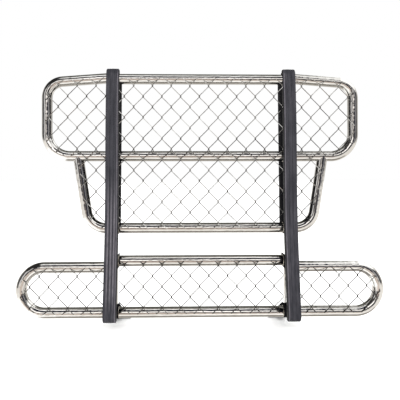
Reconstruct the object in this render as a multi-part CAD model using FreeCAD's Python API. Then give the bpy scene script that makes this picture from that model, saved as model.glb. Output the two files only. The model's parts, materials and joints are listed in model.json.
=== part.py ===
"""Front grille guard for a heavy truck: polished tube frame on two black uprights, folding on its brackets.

Millimetres.  +X is to the right as seen from in front of the truck, +Y points back towards the truck
and +Z is up.  The origin lies midway between the two bracket faces that bolt to the truck, at the
height of their bolt patterns.  Shapes are drawn in the guard's own plane, where y = 0 is the plane of
the upper tubes' centre lines and z = 0 is the centre line of the lowest bar, and save() moves each
one to the origin.
"""
import FreeCAD, Part
import math
import os

from FreeCAD import Vector

# ---- driving dimensions: tube frame -------------------------------------------------------------
UPPER_TUBE_OD = 57.15          # bars of the upper loop and of the bucket below it
LOWER_TUBE_OD = 60.3           # bars of the lower loop
TUBE_WALL = 2.0
TOP_HALF_WIDTH = 884.0         # to the outside of the upper loop's end tubes
LOWER_HALF_WIDTH = 1026.5      # to the outside of the lower loop's round ends
TOP_BAR_Z = 1300.0             # heights of bar centre lines above the lowest bar
WING_ROOT_RISE = 4.0           # the upper wings leave the uprights this much above the top bar
WING_DROOP_DEG = 4.3           # and fall outwards by this angle
MIDDLE_BAR_Z = 870.0
BUCKET_BAR_Z = 470.0
LOWER_TOP_BAR_Z = 287.0
LOWER_WING_TOP_Z = 252.0
UPPER_CORNER_R = 91.0          # centre-line bend radii
MIDDLE_CORNER_R = 126.0
BUCKET_CORNER_R = 106.0
BUCKET_LEG_TOP_X = 683.0       # leg centre line where it meets the middle bar
BUCKET_LEG_LEAN_DEG = 8.65

# ---- driving dimensions: uprights ---------------------------------------------------------------
UPRIGHT_X = 489.0              # centre plane of each upright
UPRIGHT_TOP_RISE = 59.0        # uprights above the top bar's centre line
UPRIGHT_BOTTOM_Z = -20.0
CHANNEL_WIDTH = 61.0           # over the side plates
PLATE_T = 5.0
WEB_T = 6.0
WEB_RETURN = 60.0              # how far the web is turned back over the channel's ends
TRIM_T = 14.0                  # rubber in front of the web
TRIM_LIP_T = 4.5               # rubber beside the channel
TRIM_LIP_DEPTH = 40.0          # from the trim's face to the end of its lips
TRIM_END_R = 42.0              # rounding over the upright's ends, seen from the side
FRONT_LINE = ((-176.0, -60.0), (-122.0, 258.0), (-84.0, 520.0), (-68.0, 860.0))
FRONT_LINE_TOP_Y = -22.0       # depth of the line's last point
FRONT_LINE_OVERRUN = 41.0      # and its height above the uprights' tops
DEEP_BACK_TOP_Y = 140.0        # rear edge of the deep part of the side plates, at its top and foot
DEEP_BACK_FOOT_Y = 88.0
DEEP_FOOT_DROP = 31.0          # foot of the deep part, below the bucket bar's centre line
STRIP_DEPTH = 50.0             # side plates between the deep parts, from the trim's face
NOTCH_CLEARANCE = 0.5          # rubber lips around the bars' ends and the mesh
TAB_MARGIN = 6.0               # plate left above and below a bar's end
TAB_BACK = 10.0                # plate left behind a bar's end
HEEL_TOP_Z = 46.0              # upper edge of the foot, where it clears the lowest bar

# ---- driving dimensions: pivot, bracket and fasteners -------------------------------------------
PIVOT_Y = 115.0
PIVOT_Z = -26.0
LUG_R = 28.0
PIVOT_D = 20.0
PIVOT_CLEARANCE = 0.05         # on the radius, bolt in bush and in side plates
CLAMP_OFFSET = (-50.0, 26.0)   # clamp bolt from the pivot
CLAMP_D = 16.0
CLAMP_CLEARANCE = 0.5          # on the radius, bolt in slot and in side plates
BUSH_WALL = 3.0
SLEEVE_WALL = 6.0
ARM_T = 10.0
ARM_GAP_EACH = 1.0             # free space between an arm and the side plate beside it
ARM_NOSE_REACH = 70.0          # arms ahead of the pivot
ARM_WALL = 8.5                 # metal left around the slot, the sleeve and the stop pin
MOUNT_FACE_Y = 245.0
MOUNT_Z = -71.5                # centre of the bolt pattern
MOUNT_PLATE_T = 12.0
MOUNT_PLATE_WIDTH = 150.0
MOUNT_PLATE_HEIGHT = 66.0
MOUNT_CORNER_R = 10.0
MOUNT_SPACING_X = 114.0
MOUNT_SPACING_Z = 34.0
MOUNT_HOLE_D = 14.0
GUSSET_T = 8.0
GUSSET_DEPTH = 50.0
STOP_PIN_D = 10.0
STOP_PIN_R = 36.0              # stop pin's distance from the pivot
STOP_PIN_DEG = 10.0            # and its direction, up from straight back
FOLD_DEG = 70.0                # the guard leans forward until its heels reach the stop pins
STOP_GAP = 0.6                 # left between heel and stop pin at the end of the fold
HEEL_R = 41.0                  # heel corner's distance from the pivot
TRIM_SCREW_COUNT = 6
TRIM_SCREW_D = 8.0
TRIM_SCREW_HEAD = 5.0
TRIM_SCREW_GRIP = 8.0          # thread in the rubber's foot, ahead of the web
TRIM_SCREW_MARGIN = 110.0      # first and last screw from the upright's ends
SCREW_SEAT_GAP = 0.2           # head's flat over the curved back of the web

# ---- driving dimensions: wire mesh --------------------------------------------------------------
WIRE_D = 4.5
LAYER_GAP = 0.2                # between the two layers of wires
TUBE_GAP = 0.1                 # between the rear wires and the tubes they are tacked to
MESH_PITCH_X = 103.4
MESH_PITCH_Z = 116.5
MESH_NODE = (-372.5, 791.3)    # one crossing of the wires, which sets all of them

# ---- derived sizes ------------------------------------------------------------------------------
UPPER_R = UPPER_TUBE_OD / 2
LOWER_R = LOWER_TUBE_OD / 2
FRONT_PLANE_Y = -UPPER_R       # all tubes are flush here, where the mesh lies on them
LOWER_TUBE_Y = FRONT_PLANE_Y + LOWER_R
UPRIGHT_TOP_Z = TOP_BAR_Z + UPRIGHT_TOP_RISE
HALF_CHANNEL = CHANNEL_WIDTH / 2
INNER_FACE_X = UPRIGHT_X - HALF_CHANNEL
OUTER_FACE_X = UPRIGHT_X + HALF_CHANNEL
GAP_WIDTH = CHANNEL_WIDTH - 2 * PLATE_T
POST_OD = GAP_WIDTH - 0.2      # the post slips between the side plates
WEB_INSET = TRIM_T
PLATE_INSET = TRIM_T + WEB_T
ARM_OUTER = GAP_WIDTH / 2 - ARM_GAP_EACH
ARM_INNER = ARM_OUTER - ARM_T
SLEEVE_R = PIVOT_D / 2 + PIVOT_CLEARANCE + BUSH_WALL + SLEEVE_WALL
WASHER_T = 3.0
SIDES = {"left": -1, "right": 1}
PLACE = Vector(0, -MOUNT_FACE_Y, -MOUNT_Z)
LONG = 4000.0
CORE_DEPTH = 400.0              # deeper than any upright, for solids that are cut back later


def save(name, shape):
    """Move a shape from the guard's plane to the origin and write its file."""
    moved = shape.copy()
    moved.translate(PLACE)
    moved.exportStep("parts/" + name + ".step")


def mirrored(shape):
    """The same shape on the other side of the truck's centre plane."""
    return shape.mirror(Vector(0, 0, 0), Vector(1, 0, 0))


def save_pair(stem, shape):
    """Write a right-hand shape and its left-hand mirror image."""
    save(stem + "_right", shape)
    save(stem + "_left", mirrored(shape))


def cylinder_x(x0, x1, y, z, radius):
    """Solid round bar along X."""
    return Part.makeCylinder(radius, x1 - x0, Vector(x0, y, z), Vector(1, 0, 0))


def tube_x(x0, x1, y, z, od):
    """Straight tube along X."""
    return cylinder_x(x0, x1, y, z, od / 2).cut(cylinder_x(x0, x1, y, z, od / 2 - TUBE_WALL))


def hexagon_x(x0, x1, y, z, across_flats):
    """Hexagonal bar along X."""
    reach = across_flats / math.sqrt(3)
    corners = []
    for step in range(7):
        angle = math.radians(60 * step)
        corners.append(Vector(x0, y + reach * math.cos(angle), z + reach * math.sin(angle)))
    return Part.Face(Part.makePolygon(corners)).extrude(Vector(x1 - x0, 0, 0))


def prism_x(x0, x1, outline):
    """Plate whose (y, z) outline is given, between two X positions."""
    points = [Vector(x0, y, z) for y, z in outline]
    return Part.Face(Part.makePolygon(points + points[:1])).extrude(Vector(x1 - x0, 0, 0))


# ---- bent tubes ---------------------------------------------------------------------------------
def rounded_path(points, radii, y):
    """Wire of straight runs in the plane of the guard, joined by tangent arcs."""
    corners = [Vector(x, y, z) for x, z in points]
    edges = []
    start = corners[0]
    for index, radius in enumerate(radii, 1):
        here = corners[index]
        back = (corners[index - 1] - here).normalize()
        ahead = (corners[index + 1] - here).normalize()
        half = back.getAngle(ahead) / 2
        reach = radius / math.tan(half)
        enter = here + back * reach
        leave = here + ahead * reach
        bisector = (back + ahead).normalize()
        middle = here + bisector * (radius / math.sin(half) - radius)
        edges.append(Part.makeLine(start, enter))
        edges.append(Part.Arc(enter, middle, leave).toShape())
        start = leave
    edges.append(Part.makeLine(start, corners[-1]))
    return Part.Wire(edges)


def swept_rod(path, radius):
    """Solid rod of round section along a path."""
    first = path.Edges[0]
    begin = first.valueAt(first.FirstParameter)
    direction = first.tangentAt(first.FirstParameter)
    ring = Part.Wire([Part.makeCircle(radius, begin, direction)])
    return path.makePipe(Part.Face(ring))


def bent_tube(points, radii, y, od):
    """Hollow tube along a rounded path."""
    path = rounded_path(points, radii, y)
    return swept_rod(path, od / 2).cut(swept_rod(path, od / 2 - TUBE_WALL))


def upper_wing_points(root_x):
    """Corner points of the right-hand end of the upper loop, whose upper run starts at root_x."""
    end_x = TOP_HALF_WIDTH - UPPER_R
    slope = math.tan(math.radians(WING_DROOP_DEG))
    root_z = TOP_BAR_Z + WING_ROOT_RISE
    upper = [(x, root_z - (x - OUTER_FACE_X) * slope) for x in (root_x, end_x)]
    return upper + [(end_x, MIDDLE_BAR_Z), (OUTER_FACE_X, MIDDLE_BAR_Z)]


def bucket_leg_points():
    """Corner points of the right-hand bucket leg, from the middle bar down to the upright."""
    fall = MIDDLE_BAR_Z - BUCKET_BAR_Z
    foot_x = BUCKET_LEG_TOP_X - fall * math.tan(math.radians(BUCKET_LEG_LEAN_DEG))
    return [(BUCKET_LEG_TOP_X, MIDDLE_BAR_Z), (foot_x, BUCKET_BAR_Z), (OUTER_FACE_X, BUCKET_BAR_Z)]


def lower_wing_points():
    """Corner points of the right-hand end of the lower loop, a half round of two quarter bends."""
    end_x = LOWER_HALF_WIDTH - LOWER_R
    return [(OUTER_FACE_X, LOWER_WING_TOP_Z), (end_x, LOWER_WING_TOP_Z), (end_x, 0.0), (OUTER_FACE_X, 0.0)]


def lower_wing_radius():
    """Bend radius that turns the lower wing's end into one half round."""
    return LOWER_WING_TOP_Z / 2 - 0.5


def make_tubes():
    """All bars, wings and legs of the frame."""
    for name, z in (("top_bar", TOP_BAR_Z), ("middle_bar", MIDDLE_BAR_Z), ("bucket_bar", BUCKET_BAR_Z)):
        save(name, tube_x(-INNER_FACE_X, INNER_FACE_X, 0, z, UPPER_TUBE_OD))
    for name, z in (("lower_top_bar", LOWER_TOP_BAR_Z), ("lower_bottom_bar", 0.0)):
        save(name, tube_x(-INNER_FACE_X, INNER_FACE_X, LOWER_TUBE_Y, z, LOWER_TUBE_OD))
    wing = bent_tube(upper_wing_points(OUTER_FACE_X - UPPER_R), (UPPER_CORNER_R, MIDDLE_CORNER_R), 0, UPPER_TUBE_OD)
    save_pair("upper_wing", wing.cut(Part.makeBox(LONG, LONG, LONG, Vector(OUTER_FACE_X - LONG, -LONG / 2, -LONG / 2))))
    leg = bent_tube(bucket_leg_points(), (BUCKET_CORNER_R,), 0, UPPER_TUBE_OD)
    bar = cylinder_x(OUTER_FACE_X, TOP_HALF_WIDTH, 0, MIDDLE_BAR_Z, UPPER_R)
    save_pair("bucket_leg", max(leg.cut(bar).Solids, key=lambda solid: solid.Volume))
    radius = lower_wing_radius()
    save_pair("lower_wing", bent_tube(lower_wing_points(), (radius, radius), LOWER_TUBE_Y, LOWER_TUBE_OD))


# ---- uprights -----------------------------------------------------------------------------------
def front_curve(shift):
    """The upright's front line, moved back by shift, as a smooth curve from below its foot to above its top."""
    curve = Part.BSplineCurve()
    points = FRONT_LINE + ((FRONT_LINE_TOP_Y, UPRIGHT_TOP_Z + FRONT_LINE_OVERRUN),)
    curve.interpolate([Vector(0, y + shift, z) for y, z in points])
    return curve


def front_y(z):
    """Y of the trim's face at a height."""
    plane = Part.Plane(Vector(0, 0, z), Vector(0, 0, 1))
    return front_curve(0).intersect(plane)[0][0].Y


def block_behind(x0, x1, shift):
    """Plain deep solid behind the front line moved back by shift."""
    front = front_curve(shift)
    back = front_curve(shift + CORE_DEPTH)
    edges = [
        front.toShape(),
        Part.makeLine(front.EndPoint, back.EndPoint),
        back.toShape(),
        Part.makeLine(back.StartPoint, front.StartPoint),
    ]
    face = Part.Face(Part.Wire(Part.__sortEdges__(edges)))
    face.translate(Vector(x0, 0, 0))
    return face.extrude(Vector(x1 - x0, 0, 0))


def slab(x0, x1, inset, depth):
    """Solid behind the front line, inset from the trim's face and ends, its front ends rounded."""
    foot = UPRIGHT_BOTTOM_Z + inset
    top = UPRIGHT_TOP_Z - inset
    between = Part.makeBox(x1 - x0, LONG, top - foot, Vector(x0, -LONG / 2, foot))
    solid = block_behind(x0, x1, inset).common(between)
    ends = []
    for edge in solid.Edges:
        middle = edge.CenterOfMass
        for z in (foot, top):
            if abs(middle.z - z) < 0.01 and abs(middle.y - front_y(z) - inset) < 0.01:
                ends.append(edge)
    solid = solid.makeFillet(TRIM_END_R - inset, ends)
    if depth >= CORE_DEPTH:
        return solid
    return solid.cut(block_behind(x0 - 1, x1 + 1, depth))


def strip_edge(z):
    """Rear edge of the side plate's narrow stretch at a height."""
    return front_y(z) + STRIP_DEPTH


def tab_outline(low, high, back):
    """Tab that reaches back from the narrow stretch to carry a bar's end."""
    return [(strip_edge(low) - STRIP_DEPTH / 2, low), (back, low), (back, high), (strip_edge(high) - STRIP_DEPTH / 2, high)]


def foot_plate(x0, x1):
    """Lower part of a side plate, from the upright's nose back to its pivot lug and heel."""
    nose = UPRIGHT_BOTTOM_Z + PLATE_INSET
    web_end = front_y(nose) + TRIM_T + WEB_RETURN + 2.0
    blade = [
        (front_y(HEEL_TOP_Z) + PLATE_INSET + 2.0, HEEL_TOP_Z),
        (front_y(nose) + TRIM_END_R + 2.0, nose),
        (web_end, nose),
        (web_end, nose - WEB_T),
        (LOWER_TUBE_Y, -LOWER_R - TAB_MARGIN),
        lug_point(-105),
        lug_point(45),
        (LOWER_TUBE_Y + LOWER_R - 8.0, HEEL_TOP_Z),
    ]
    heel_angle = STOP_PIN_DEG - FOLD_DEG - stop_half_angle()
    heel = [(PIVOT_Y, PIVOT_Z), lug_point(-105), around_pivot(HEEL_R, heel_angle)]
    solid = prism_x(x0, x1, blade)
    solid = solid.fuse(cylinder_x(x0, x1, PIVOT_Y, PIVOT_Z, LUG_R))
    return solid.fuse(prism_x(x0, x1, heel))


def around_pivot(radius, degrees):
    """Point at a distance and direction from the pivot, counted up from straight back."""
    angle = math.radians(degrees)
    return PIVOT_Y + radius * math.cos(angle), PIVOT_Z + radius * math.sin(angle)


def lug_point(degrees):
    """Point just inside the round of the lug."""
    return around_pivot(LUG_R * 0.995, degrees)


def stop_half_angle():
    """Degrees between the stop pin's centre and the heel that rests against it."""
    return math.degrees(math.asin((STOP_PIN_D / 2 + STOP_GAP) / STOP_PIN_R))


def side_plate(x0, x1, bar_z, bar_r):
    """One side plate: deep above, narrow in the middle, a tab at one lower bar and a foot with a lug."""
    body = slab(x0, x1, PLATE_INSET, CORE_DEPTH)
    deep_foot_z = BUCKET_BAR_Z - DEEP_FOOT_DROP
    top = UPRIGHT_TOP_Z + 1.0
    ahead = front_y(0) - 50.0
    deep = [(ahead, deep_foot_z), (DEEP_BACK_FOOT_Y, deep_foot_z), (DEEP_BACK_TOP_Y, top), (ahead, top)]
    plate = body.common(prism_x(x0, x1, deep))
    strip = slab(x0, x1, PLATE_INSET, STRIP_DEPTH)
    below = prism_x(x0, x1, [(-LONG, -LONG), (LONG, -LONG), (LONG, deep_foot_z + 1.0), (-LONG, deep_foot_z + 1.0)])
    tab = tab_outline(bar_z - bar_r - TAB_MARGIN, bar_z + bar_r + TAB_MARGIN, LOWER_TUBE_Y + bar_r + TAB_BACK)
    plate = plate.fuse([strip.common(below), prism_x(x0, x1, tab), foot_plate(x0, x1)])
    plate = plate.cut(cylinder_x(x0 - 1, x1 + 1, PIVOT_Y, PIVOT_Z, PIVOT_D / 2 + PIVOT_CLEARANCE))
    clamp_y, clamp_z = clamp_centre()
    plate = plate.cut(cylinder_x(x0 - 1, x1 + 1, clamp_y, clamp_z, CLAMP_D / 2 + CLAMP_CLEARANCE))
    return plate.removeSplitter()


def clamp_centre():
    """Place of the clamp bolt."""
    return PIVOT_Y + CLAMP_OFFSET[0], PIVOT_Z + CLAMP_OFFSET[1]


def trim_screw_heights():
    """Even heights of the screws that hold the trim."""
    low = UPRIGHT_BOTTOM_Z + TRIM_SCREW_MARGIN
    step = (UPRIGHT_TOP_Z - TRIM_SCREW_MARGIN - low) / (TRIM_SCREW_COUNT - 1)
    return [low + step * index for index in range(TRIM_SCREW_COUNT)]


def screw_seat(z, lift):
    """Point behind the web on a screw's axis, lift away from its back face, and the forward direction."""
    slope = math.atan2(front_y(z + 10.0) - front_y(z - 10.0), 20.0)
    forward = Vector(0, -math.cos(slope), math.sin(slope))
    return Vector(UPRIGHT_X, front_y(z) + PLATE_INSET, z) - forward * lift, forward


def screw_shaft(z, lift):
    """Round of a trim screw, from lift behind the web to its end in the trim's foot."""
    start, forward = screw_seat(z, lift)
    return Part.makeCylinder(TRIM_SCREW_D / 2, lift + WEB_T + TRIM_SCREW_GRIP, start, forward)


def trim_screw(z):
    """Screw from inside the channel, through the web and into the trim's foot."""
    start, forward = screw_seat(z, SCREW_SEAT_GAP)
    head = Part.makeCylinder(TRIM_SCREW_D, TRIM_SCREW_HEAD, start - forward * TRIM_SCREW_HEAD, forward)
    return screw_shaft(z, SCREW_SEAT_GAP).fuse(head).removeSplitter()


def trim_crossings():
    """Bar ends that pass through the trim's lips: X span, centre and radius."""
    inside = (INNER_FACE_X - 2 * TRIM_LIP_T, INNER_FACE_X)
    outside = (OUTER_FACE_X, OUTER_FACE_X + 2 * TRIM_LIP_T)
    return [
        inside + (0, TOP_BAR_Z, UPPER_R),
        inside + (0, MIDDLE_BAR_Z, UPPER_R),
        outside + (0, TOP_BAR_Z + WING_ROOT_RISE, UPPER_R),
        outside + (0, MIDDLE_BAR_Z, UPPER_R),
    ]


def make_uprights():
    """Web, trim, side plates and post of each upright."""
    lip = TRIM_LIP_T
    cavity = slab(INNER_FACE_X, OUTER_FACE_X, WEB_INSET, CORE_DEPTH)
    trim = slab(INNER_FACE_X - lip, OUTER_FACE_X + lip, 0.0, TRIM_LIP_DEPTH).cut(cavity)
    for x0, x1, y, z, radius in trim_crossings():
        trim = trim.cut(cylinder_x(x0, x1, y, z, radius + NOTCH_CLEARANCE))
    behind = slab(INNER_FACE_X - 1, OUTER_FACE_X + 1, PLATE_INSET, CORE_DEPTH)
    web = slab(INNER_FACE_X, OUTER_FACE_X, WEB_INSET, WEB_INSET + WEB_RETURN).cut(behind)
    screws = []
    for z in trim_screw_heights():
        hole = screw_shaft(z, TRIM_SCREW_HEAD)
        trim = trim.cut(hole)
        web = web.cut(hole)
        screws.append(trim_screw(z))
    save_pair("upright_trim", trim)
    save_pair("upright_web", web)
    save_pair("trim_screws", Part.makeCompound(screws))
    save_pair("side_plate_inner", side_plate(INNER_FACE_X, INNER_FACE_X + PLATE_T, LOWER_TOP_BAR_Z, LOWER_R))
    save_pair("side_plate_outer", side_plate(OUTER_FACE_X - PLATE_T, OUTER_FACE_X, LOWER_WING_TOP_Z, LOWER_R))
    post_foot = HEEL_TOP_Z - 30.0
    post_top = LOWER_TOP_BAR_Z + LOWER_R - 4.0
    post = Part.makeCylinder(POST_OD / 2, post_top - post_foot, Vector(UPRIGHT_X, LOWER_TUBE_Y, post_foot))
    bore = Part.makeCylinder(POST_OD / 2 - TUBE_WALL, post_top - post_foot, Vector(UPRIGHT_X, LOWER_TUBE_Y, post_foot))
    save_pair("lower_post", post.cut(bore))


# ---- brackets and pivots ------------------------------------------------------------------------
def arm(x0, x1):
    """One arm of a bracket, falling from the pivot to the mounting plate, with a slot open below."""
    clamp_y, clamp_z = clamp_centre()
    stop_y, stop_z = around_pivot(STOP_PIN_R, STOP_PIN_DEG)
    slot_r = CLAMP_D / 2 + CLAMP_CLEARANCE
    nose_y = PIVOT_Y - ARM_NOSE_REACH
    rear = MOUNT_FACE_Y - MOUNT_PLATE_T
    half_plate = MOUNT_PLATE_HEIGHT / 2
    below = PIVOT_Z - SLEEVE_R - ARM_WALL
    outline = [
        (nose_y, clamp_z + slot_r + ARM_WALL),
        (clamp_y + slot_r, clamp_z + slot_r + ARM_WALL),
        (PIVOT_Y + 8.0, PIVOT_Z + SLEEVE_R + ARM_WALL),
        (stop_y, stop_z + STOP_PIN_D / 2 + ARM_WALL / 2),
        (rear, MOUNT_Z + half_plate - 2.0),
        (rear, MOUNT_Z - half_plate + 2.0),
        (PIVOT_Y, below),
        (nose_y, clamp_z - slot_r),
    ]
    solid = prism_x(x0, x1, outline)
    solid = solid.cut(clamp_slot(x0 - 1, x1 + 1, slot_r))
    solid = solid.cut(cylinder_x(x0 - 1, x1 + 1, clamp_y, clamp_z, slot_r))
    solid = solid.cut(cylinder_x(x0 - 1, x1 + 1, PIVOT_Y, PIVOT_Z, SLEEVE_R))
    solid = solid.cut(cylinder_x(x0 - 1, x1 + 1, stop_y, stop_z, STOP_PIN_D / 2))
    return max(solid.Solids, key=lambda piece: piece.Volume)


def clamp_slot(x0, x1, slot_r):
    """Space that the clamp bolt sweeps about the pivot as the guard folds."""
    reach = math.hypot(*CLAMP_OFFSET)
    ring = cylinder_x(x0, x1, PIVOT_Y, PIVOT_Z, reach + slot_r)
    ring = ring.cut(cylinder_x(x0 - 1, x1 + 1, PIVOT_Y, PIVOT_Z, reach - slot_r))
    start = math.degrees(math.atan2(CLAMP_OFFSET[1], CLAMP_OFFSET[0]))
    wedge = [(PIVOT_Y, PIVOT_Z)]
    for share in (0.0, 0.5, 1.0):
        wedge.append(around_pivot(LONG / 20, start + share * FOLD_DEG))
    return ring.common(prism_x(x0, x1, wedge))


def mount_plate():
    """Plate that bolts to the truck, with four holes."""
    half_w = MOUNT_PLATE_WIDTH / 2
    half_h = MOUNT_PLATE_HEIGHT / 2
    y = MOUNT_FACE_Y - MOUNT_PLATE_T
    plate = Part.makeBox(MOUNT_PLATE_WIDTH, MOUNT_PLATE_T, MOUNT_PLATE_HEIGHT,
                         Vector(UPRIGHT_X - half_w, y, MOUNT_Z - half_h))
    corners = [edge for edge in plate.Edges if abs(edge.tangentAt(edge.FirstParameter).y) > 0.99]
    plate = plate.makeFillet(MOUNT_CORNER_R, corners)
    for side in (-1, 1):
        for level in (-1, 1):
            centre = Vector(UPRIGHT_X + side * MOUNT_SPACING_X / 2, y - 1, MOUNT_Z + level * MOUNT_SPACING_Z / 2)
            plate = plate.cut(Part.makeCylinder(MOUNT_HOLE_D / 2, MOUNT_PLATE_T + 2, centre, Vector(0, 1, 0)))
    return plate


def gusset():
    """Stiffener between the two arms, standing on the mounting plate."""
    rear = MOUNT_FACE_Y - MOUNT_PLATE_T
    return Part.makeBox(2 * ARM_INNER, GUSSET_DEPTH, GUSSET_T,
                        Vector(UPRIGHT_X - ARM_INNER, rear - GUSSET_DEPTH, MOUNT_Z - GUSSET_T / 2))


def bolt(y, z, diameter, head_side):
    """Hexagon bolt through the side plates, washers and nut."""
    grip = HALF_CHANNEL + WASHER_T
    start = UPRIGHT_X - head_side * grip
    head_height = diameter * 0.64
    nut_height = diameter * 0.8
    end = UPRIGHT_X + head_side * (grip + nut_height + 4.0)
    shank = cylinder_x(min(start, end), max(start, end), y, z, diameter / 2)
    head_end = start - head_side * head_height
    head = hexagon_x(min(start, head_end), max(start, head_end), y, z, diameter * 1.5)
    return shank.fuse(head).removeSplitter()


def nut(y, z, diameter, head_side):
    """Hexagon nut on the far side of the channel."""
    start = UPRIGHT_X + head_side * (HALF_CHANNEL + WASHER_T)
    end = start + head_side * diameter * 0.8
    body = hexagon_x(min(start, end), max(start, end), y, z, diameter * 1.5)
    return body.cut(cylinder_x(min(start, end) - 1, max(start, end) + 1, y, z, diameter / 2))


def washers(y, z, diameter):
    """Plain washers outside both side plates."""
    rings = []
    for side in (-1, 1):
        inner = UPRIGHT_X + side * HALF_CHANNEL
        outer = inner + side * WASHER_T
        ring = cylinder_x(min(inner, outer), max(inner, outer), y, z, diameter * 0.95)
        rings.append(ring.cut(cylinder_x(min(inner, outer) - 1, max(inner, outer) + 1, y, z, diameter / 2)))
    return Part.makeCompound(rings)


def make_brackets():
    """The two brackets, which stay on the truck, and the bolts that the guard turns on."""
    save_pair("mount_plate", mount_plate())
    save_pair("mount_arm_inner", arm(UPRIGHT_X - ARM_OUTER, UPRIGHT_X - ARM_INNER))
    save_pair("mount_arm_outer", arm(UPRIGHT_X + ARM_INNER, UPRIGHT_X + ARM_OUTER))
    save_pair("mount_gusset", gusset())
    bush_r = PIVOT_D / 2 + PIVOT_CLEARANCE + BUSH_WALL
    sleeve = cylinder_x(UPRIGHT_X - ARM_OUTER, UPRIGHT_X + ARM_OUTER, PIVOT_Y, PIVOT_Z, SLEEVE_R)
    save_pair("pivot_sleeve", sleeve.cut(cylinder_x(UPRIGHT_X - 50, UPRIGHT_X + 50, PIVOT_Y, PIVOT_Z, bush_r)))
    bush = cylinder_x(UPRIGHT_X - ARM_OUTER, UPRIGHT_X + ARM_OUTER, PIVOT_Y, PIVOT_Z, bush_r)
    bore = cylinder_x(UPRIGHT_X - 50, UPRIGHT_X + 50, PIVOT_Y, PIVOT_Z, PIVOT_D / 2 + PIVOT_CLEARANCE)
    save_pair("pivot_bush", bush.cut(bore))
    stop_y, stop_z = around_pivot(STOP_PIN_R, STOP_PIN_DEG)
    stop_pin = cylinder_x(UPRIGHT_X - HALF_CHANNEL, UPRIGHT_X + HALF_CHANNEL, stop_y, stop_z, STOP_PIN_D / 2)
    save_pair("stop_pin", stop_pin)
    clamp_y, clamp_z = clamp_centre()
    save_pair("pivot_bolt", bolt(PIVOT_Y, PIVOT_Z, PIVOT_D, 1))
    save_pair("clamp_bolt", bolt(clamp_y, clamp_z, CLAMP_D, 1))
    save_pair("pivot_nut", nut(PIVOT_Y, PIVOT_Z, PIVOT_D, 1))
    save_pair("clamp_nut", nut(clamp_y, clamp_z, CLAMP_D, 1))
    save_pair("pivot_washers", washers(PIVOT_Y, PIVOT_Z, PIVOT_D))
    save_pair("clamp_washers", washers(clamp_y, clamp_z, CLAMP_D))


# ---- wire mesh ----------------------------------------------------------------------------------
def region_face(points, radii):
    """Flat face inside a rounded outline whose last side closes it."""
    path = rounded_path(points, radii, 0)
    ends = path.OrderedVertexes
    closing = Part.makeLine(ends[-1].Point, ends[0].Point)
    return Part.Face(Part.Wire(path.OrderedEdges + [closing]))


def rectangle(x0, x1, z0, z1):
    """Flat rectangular face in the plane of the guard."""
    corners = [Vector(x0, 0, z0), Vector(x1, 0, z0), Vector(x1, 0, z1), Vector(x0, 0, z1), Vector(x0, 0, z0)]
    return Part.Face(Part.makePolygon(corners))


def wires(region):
    """Crossing wires of the lattice inside a flat region, the rear layer against the tubes."""
    box = region.BoundBox
    depth = 4 * WIRE_D
    rear_y = FRONT_PLANE_Y - TUBE_GAP - WIRE_D / 2
    prism = region.copy()
    prism.translate(Vector(0, rear_y - depth, 0))
    prism = beside_trim(prism.extrude(Vector(0, 2 * depth, 0)))
    span = box.ZLength + box.XLength + MESH_PITCH_X
    rods = []
    for lean, y in ((1, rear_y - WIRE_D - LAYER_GAP), (-1, rear_y)):
        along = Vector(MESH_PITCH_X, 0, lean * MESH_PITCH_Z).normalize()
        count = int(2 * span / MESH_PITCH_X) + 2
        for index in range(-count, count):
            cross = Vector(MESH_NODE[0] + index * MESH_PITCH_X, y, MESH_NODE[1])
            shift = (box.Center.z - cross.z) / along.z
            start = cross + along * (shift - span)
            rod = Part.makeCylinder(WIRE_D / 2, 2 * span, start, along)
            if start.distanceToPoint(Vector(box.Center.x, y, box.Center.z)) > 3 * span:
                continue
            piece = rod.common(prism)
            rods.extend(solid for solid in piece.Solids if solid.Volume > WIRE_D ** 3)
    return Part.makeCompound(rods)


def beside_trim(shape):
    """What a shape leaves outside the width of both trims."""
    reach = HALF_CHANNEL + TRIM_LIP_T + NOTCH_CLEARANCE
    for side in (-1, 1):
        corner = Vector(side * UPRIGHT_X - reach, -LONG / 2, -LONG / 2)
        shape = shape.cut(Part.makeBox(2 * reach, LONG, LONG, corner))
    return shape


def make_mesh():
    """One mesh panel in each bay of the frame."""
    save("mesh_upper_centre", wires(rectangle(-INNER_FACE_X, INNER_FACE_X, BUCKET_BAR_Z, TOP_BAR_Z)))
    save("mesh_lower_centre", wires(rectangle(-INNER_FACE_X, INNER_FACE_X, 0, LOWER_TOP_BAR_Z)))
    radius = lower_wing_radius()
    wing = region_face(upper_wing_points(OUTER_FACE_X), (UPPER_CORNER_R, MIDDLE_CORNER_R))
    bucket = region_face([(OUTER_FACE_X, MIDDLE_BAR_Z)] + bucket_leg_points(), (0.01, BUCKET_CORNER_R))
    upper = wing.fuse(bucket).removeSplitter().Faces[0]
    lower = region_face(lower_wing_points(), (radius, radius))
    save("mesh_upper_right", wires(upper))
    save("mesh_upper_left", wires(mirrored(upper)))
    save("mesh_lower_right", wires(lower))
    save("mesh_lower_left", wires(mirrored(lower)))


os.makedirs("parts", exist_ok=True)
make_tubes()
make_uprights()
make_brackets()
make_mesh()
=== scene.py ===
"""Looks of a folding front grille guard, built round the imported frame.

Metres.  +X is to the right as seen from in front of the truck, +Y points back towards the truck and
+Z is up, as in the frame.
"""

import json
import logging
import math
from collections.abc import Callable, Iterator, Sequence
from contextlib import contextmanager
from dataclasses import dataclass, field
from enum import Enum

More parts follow.
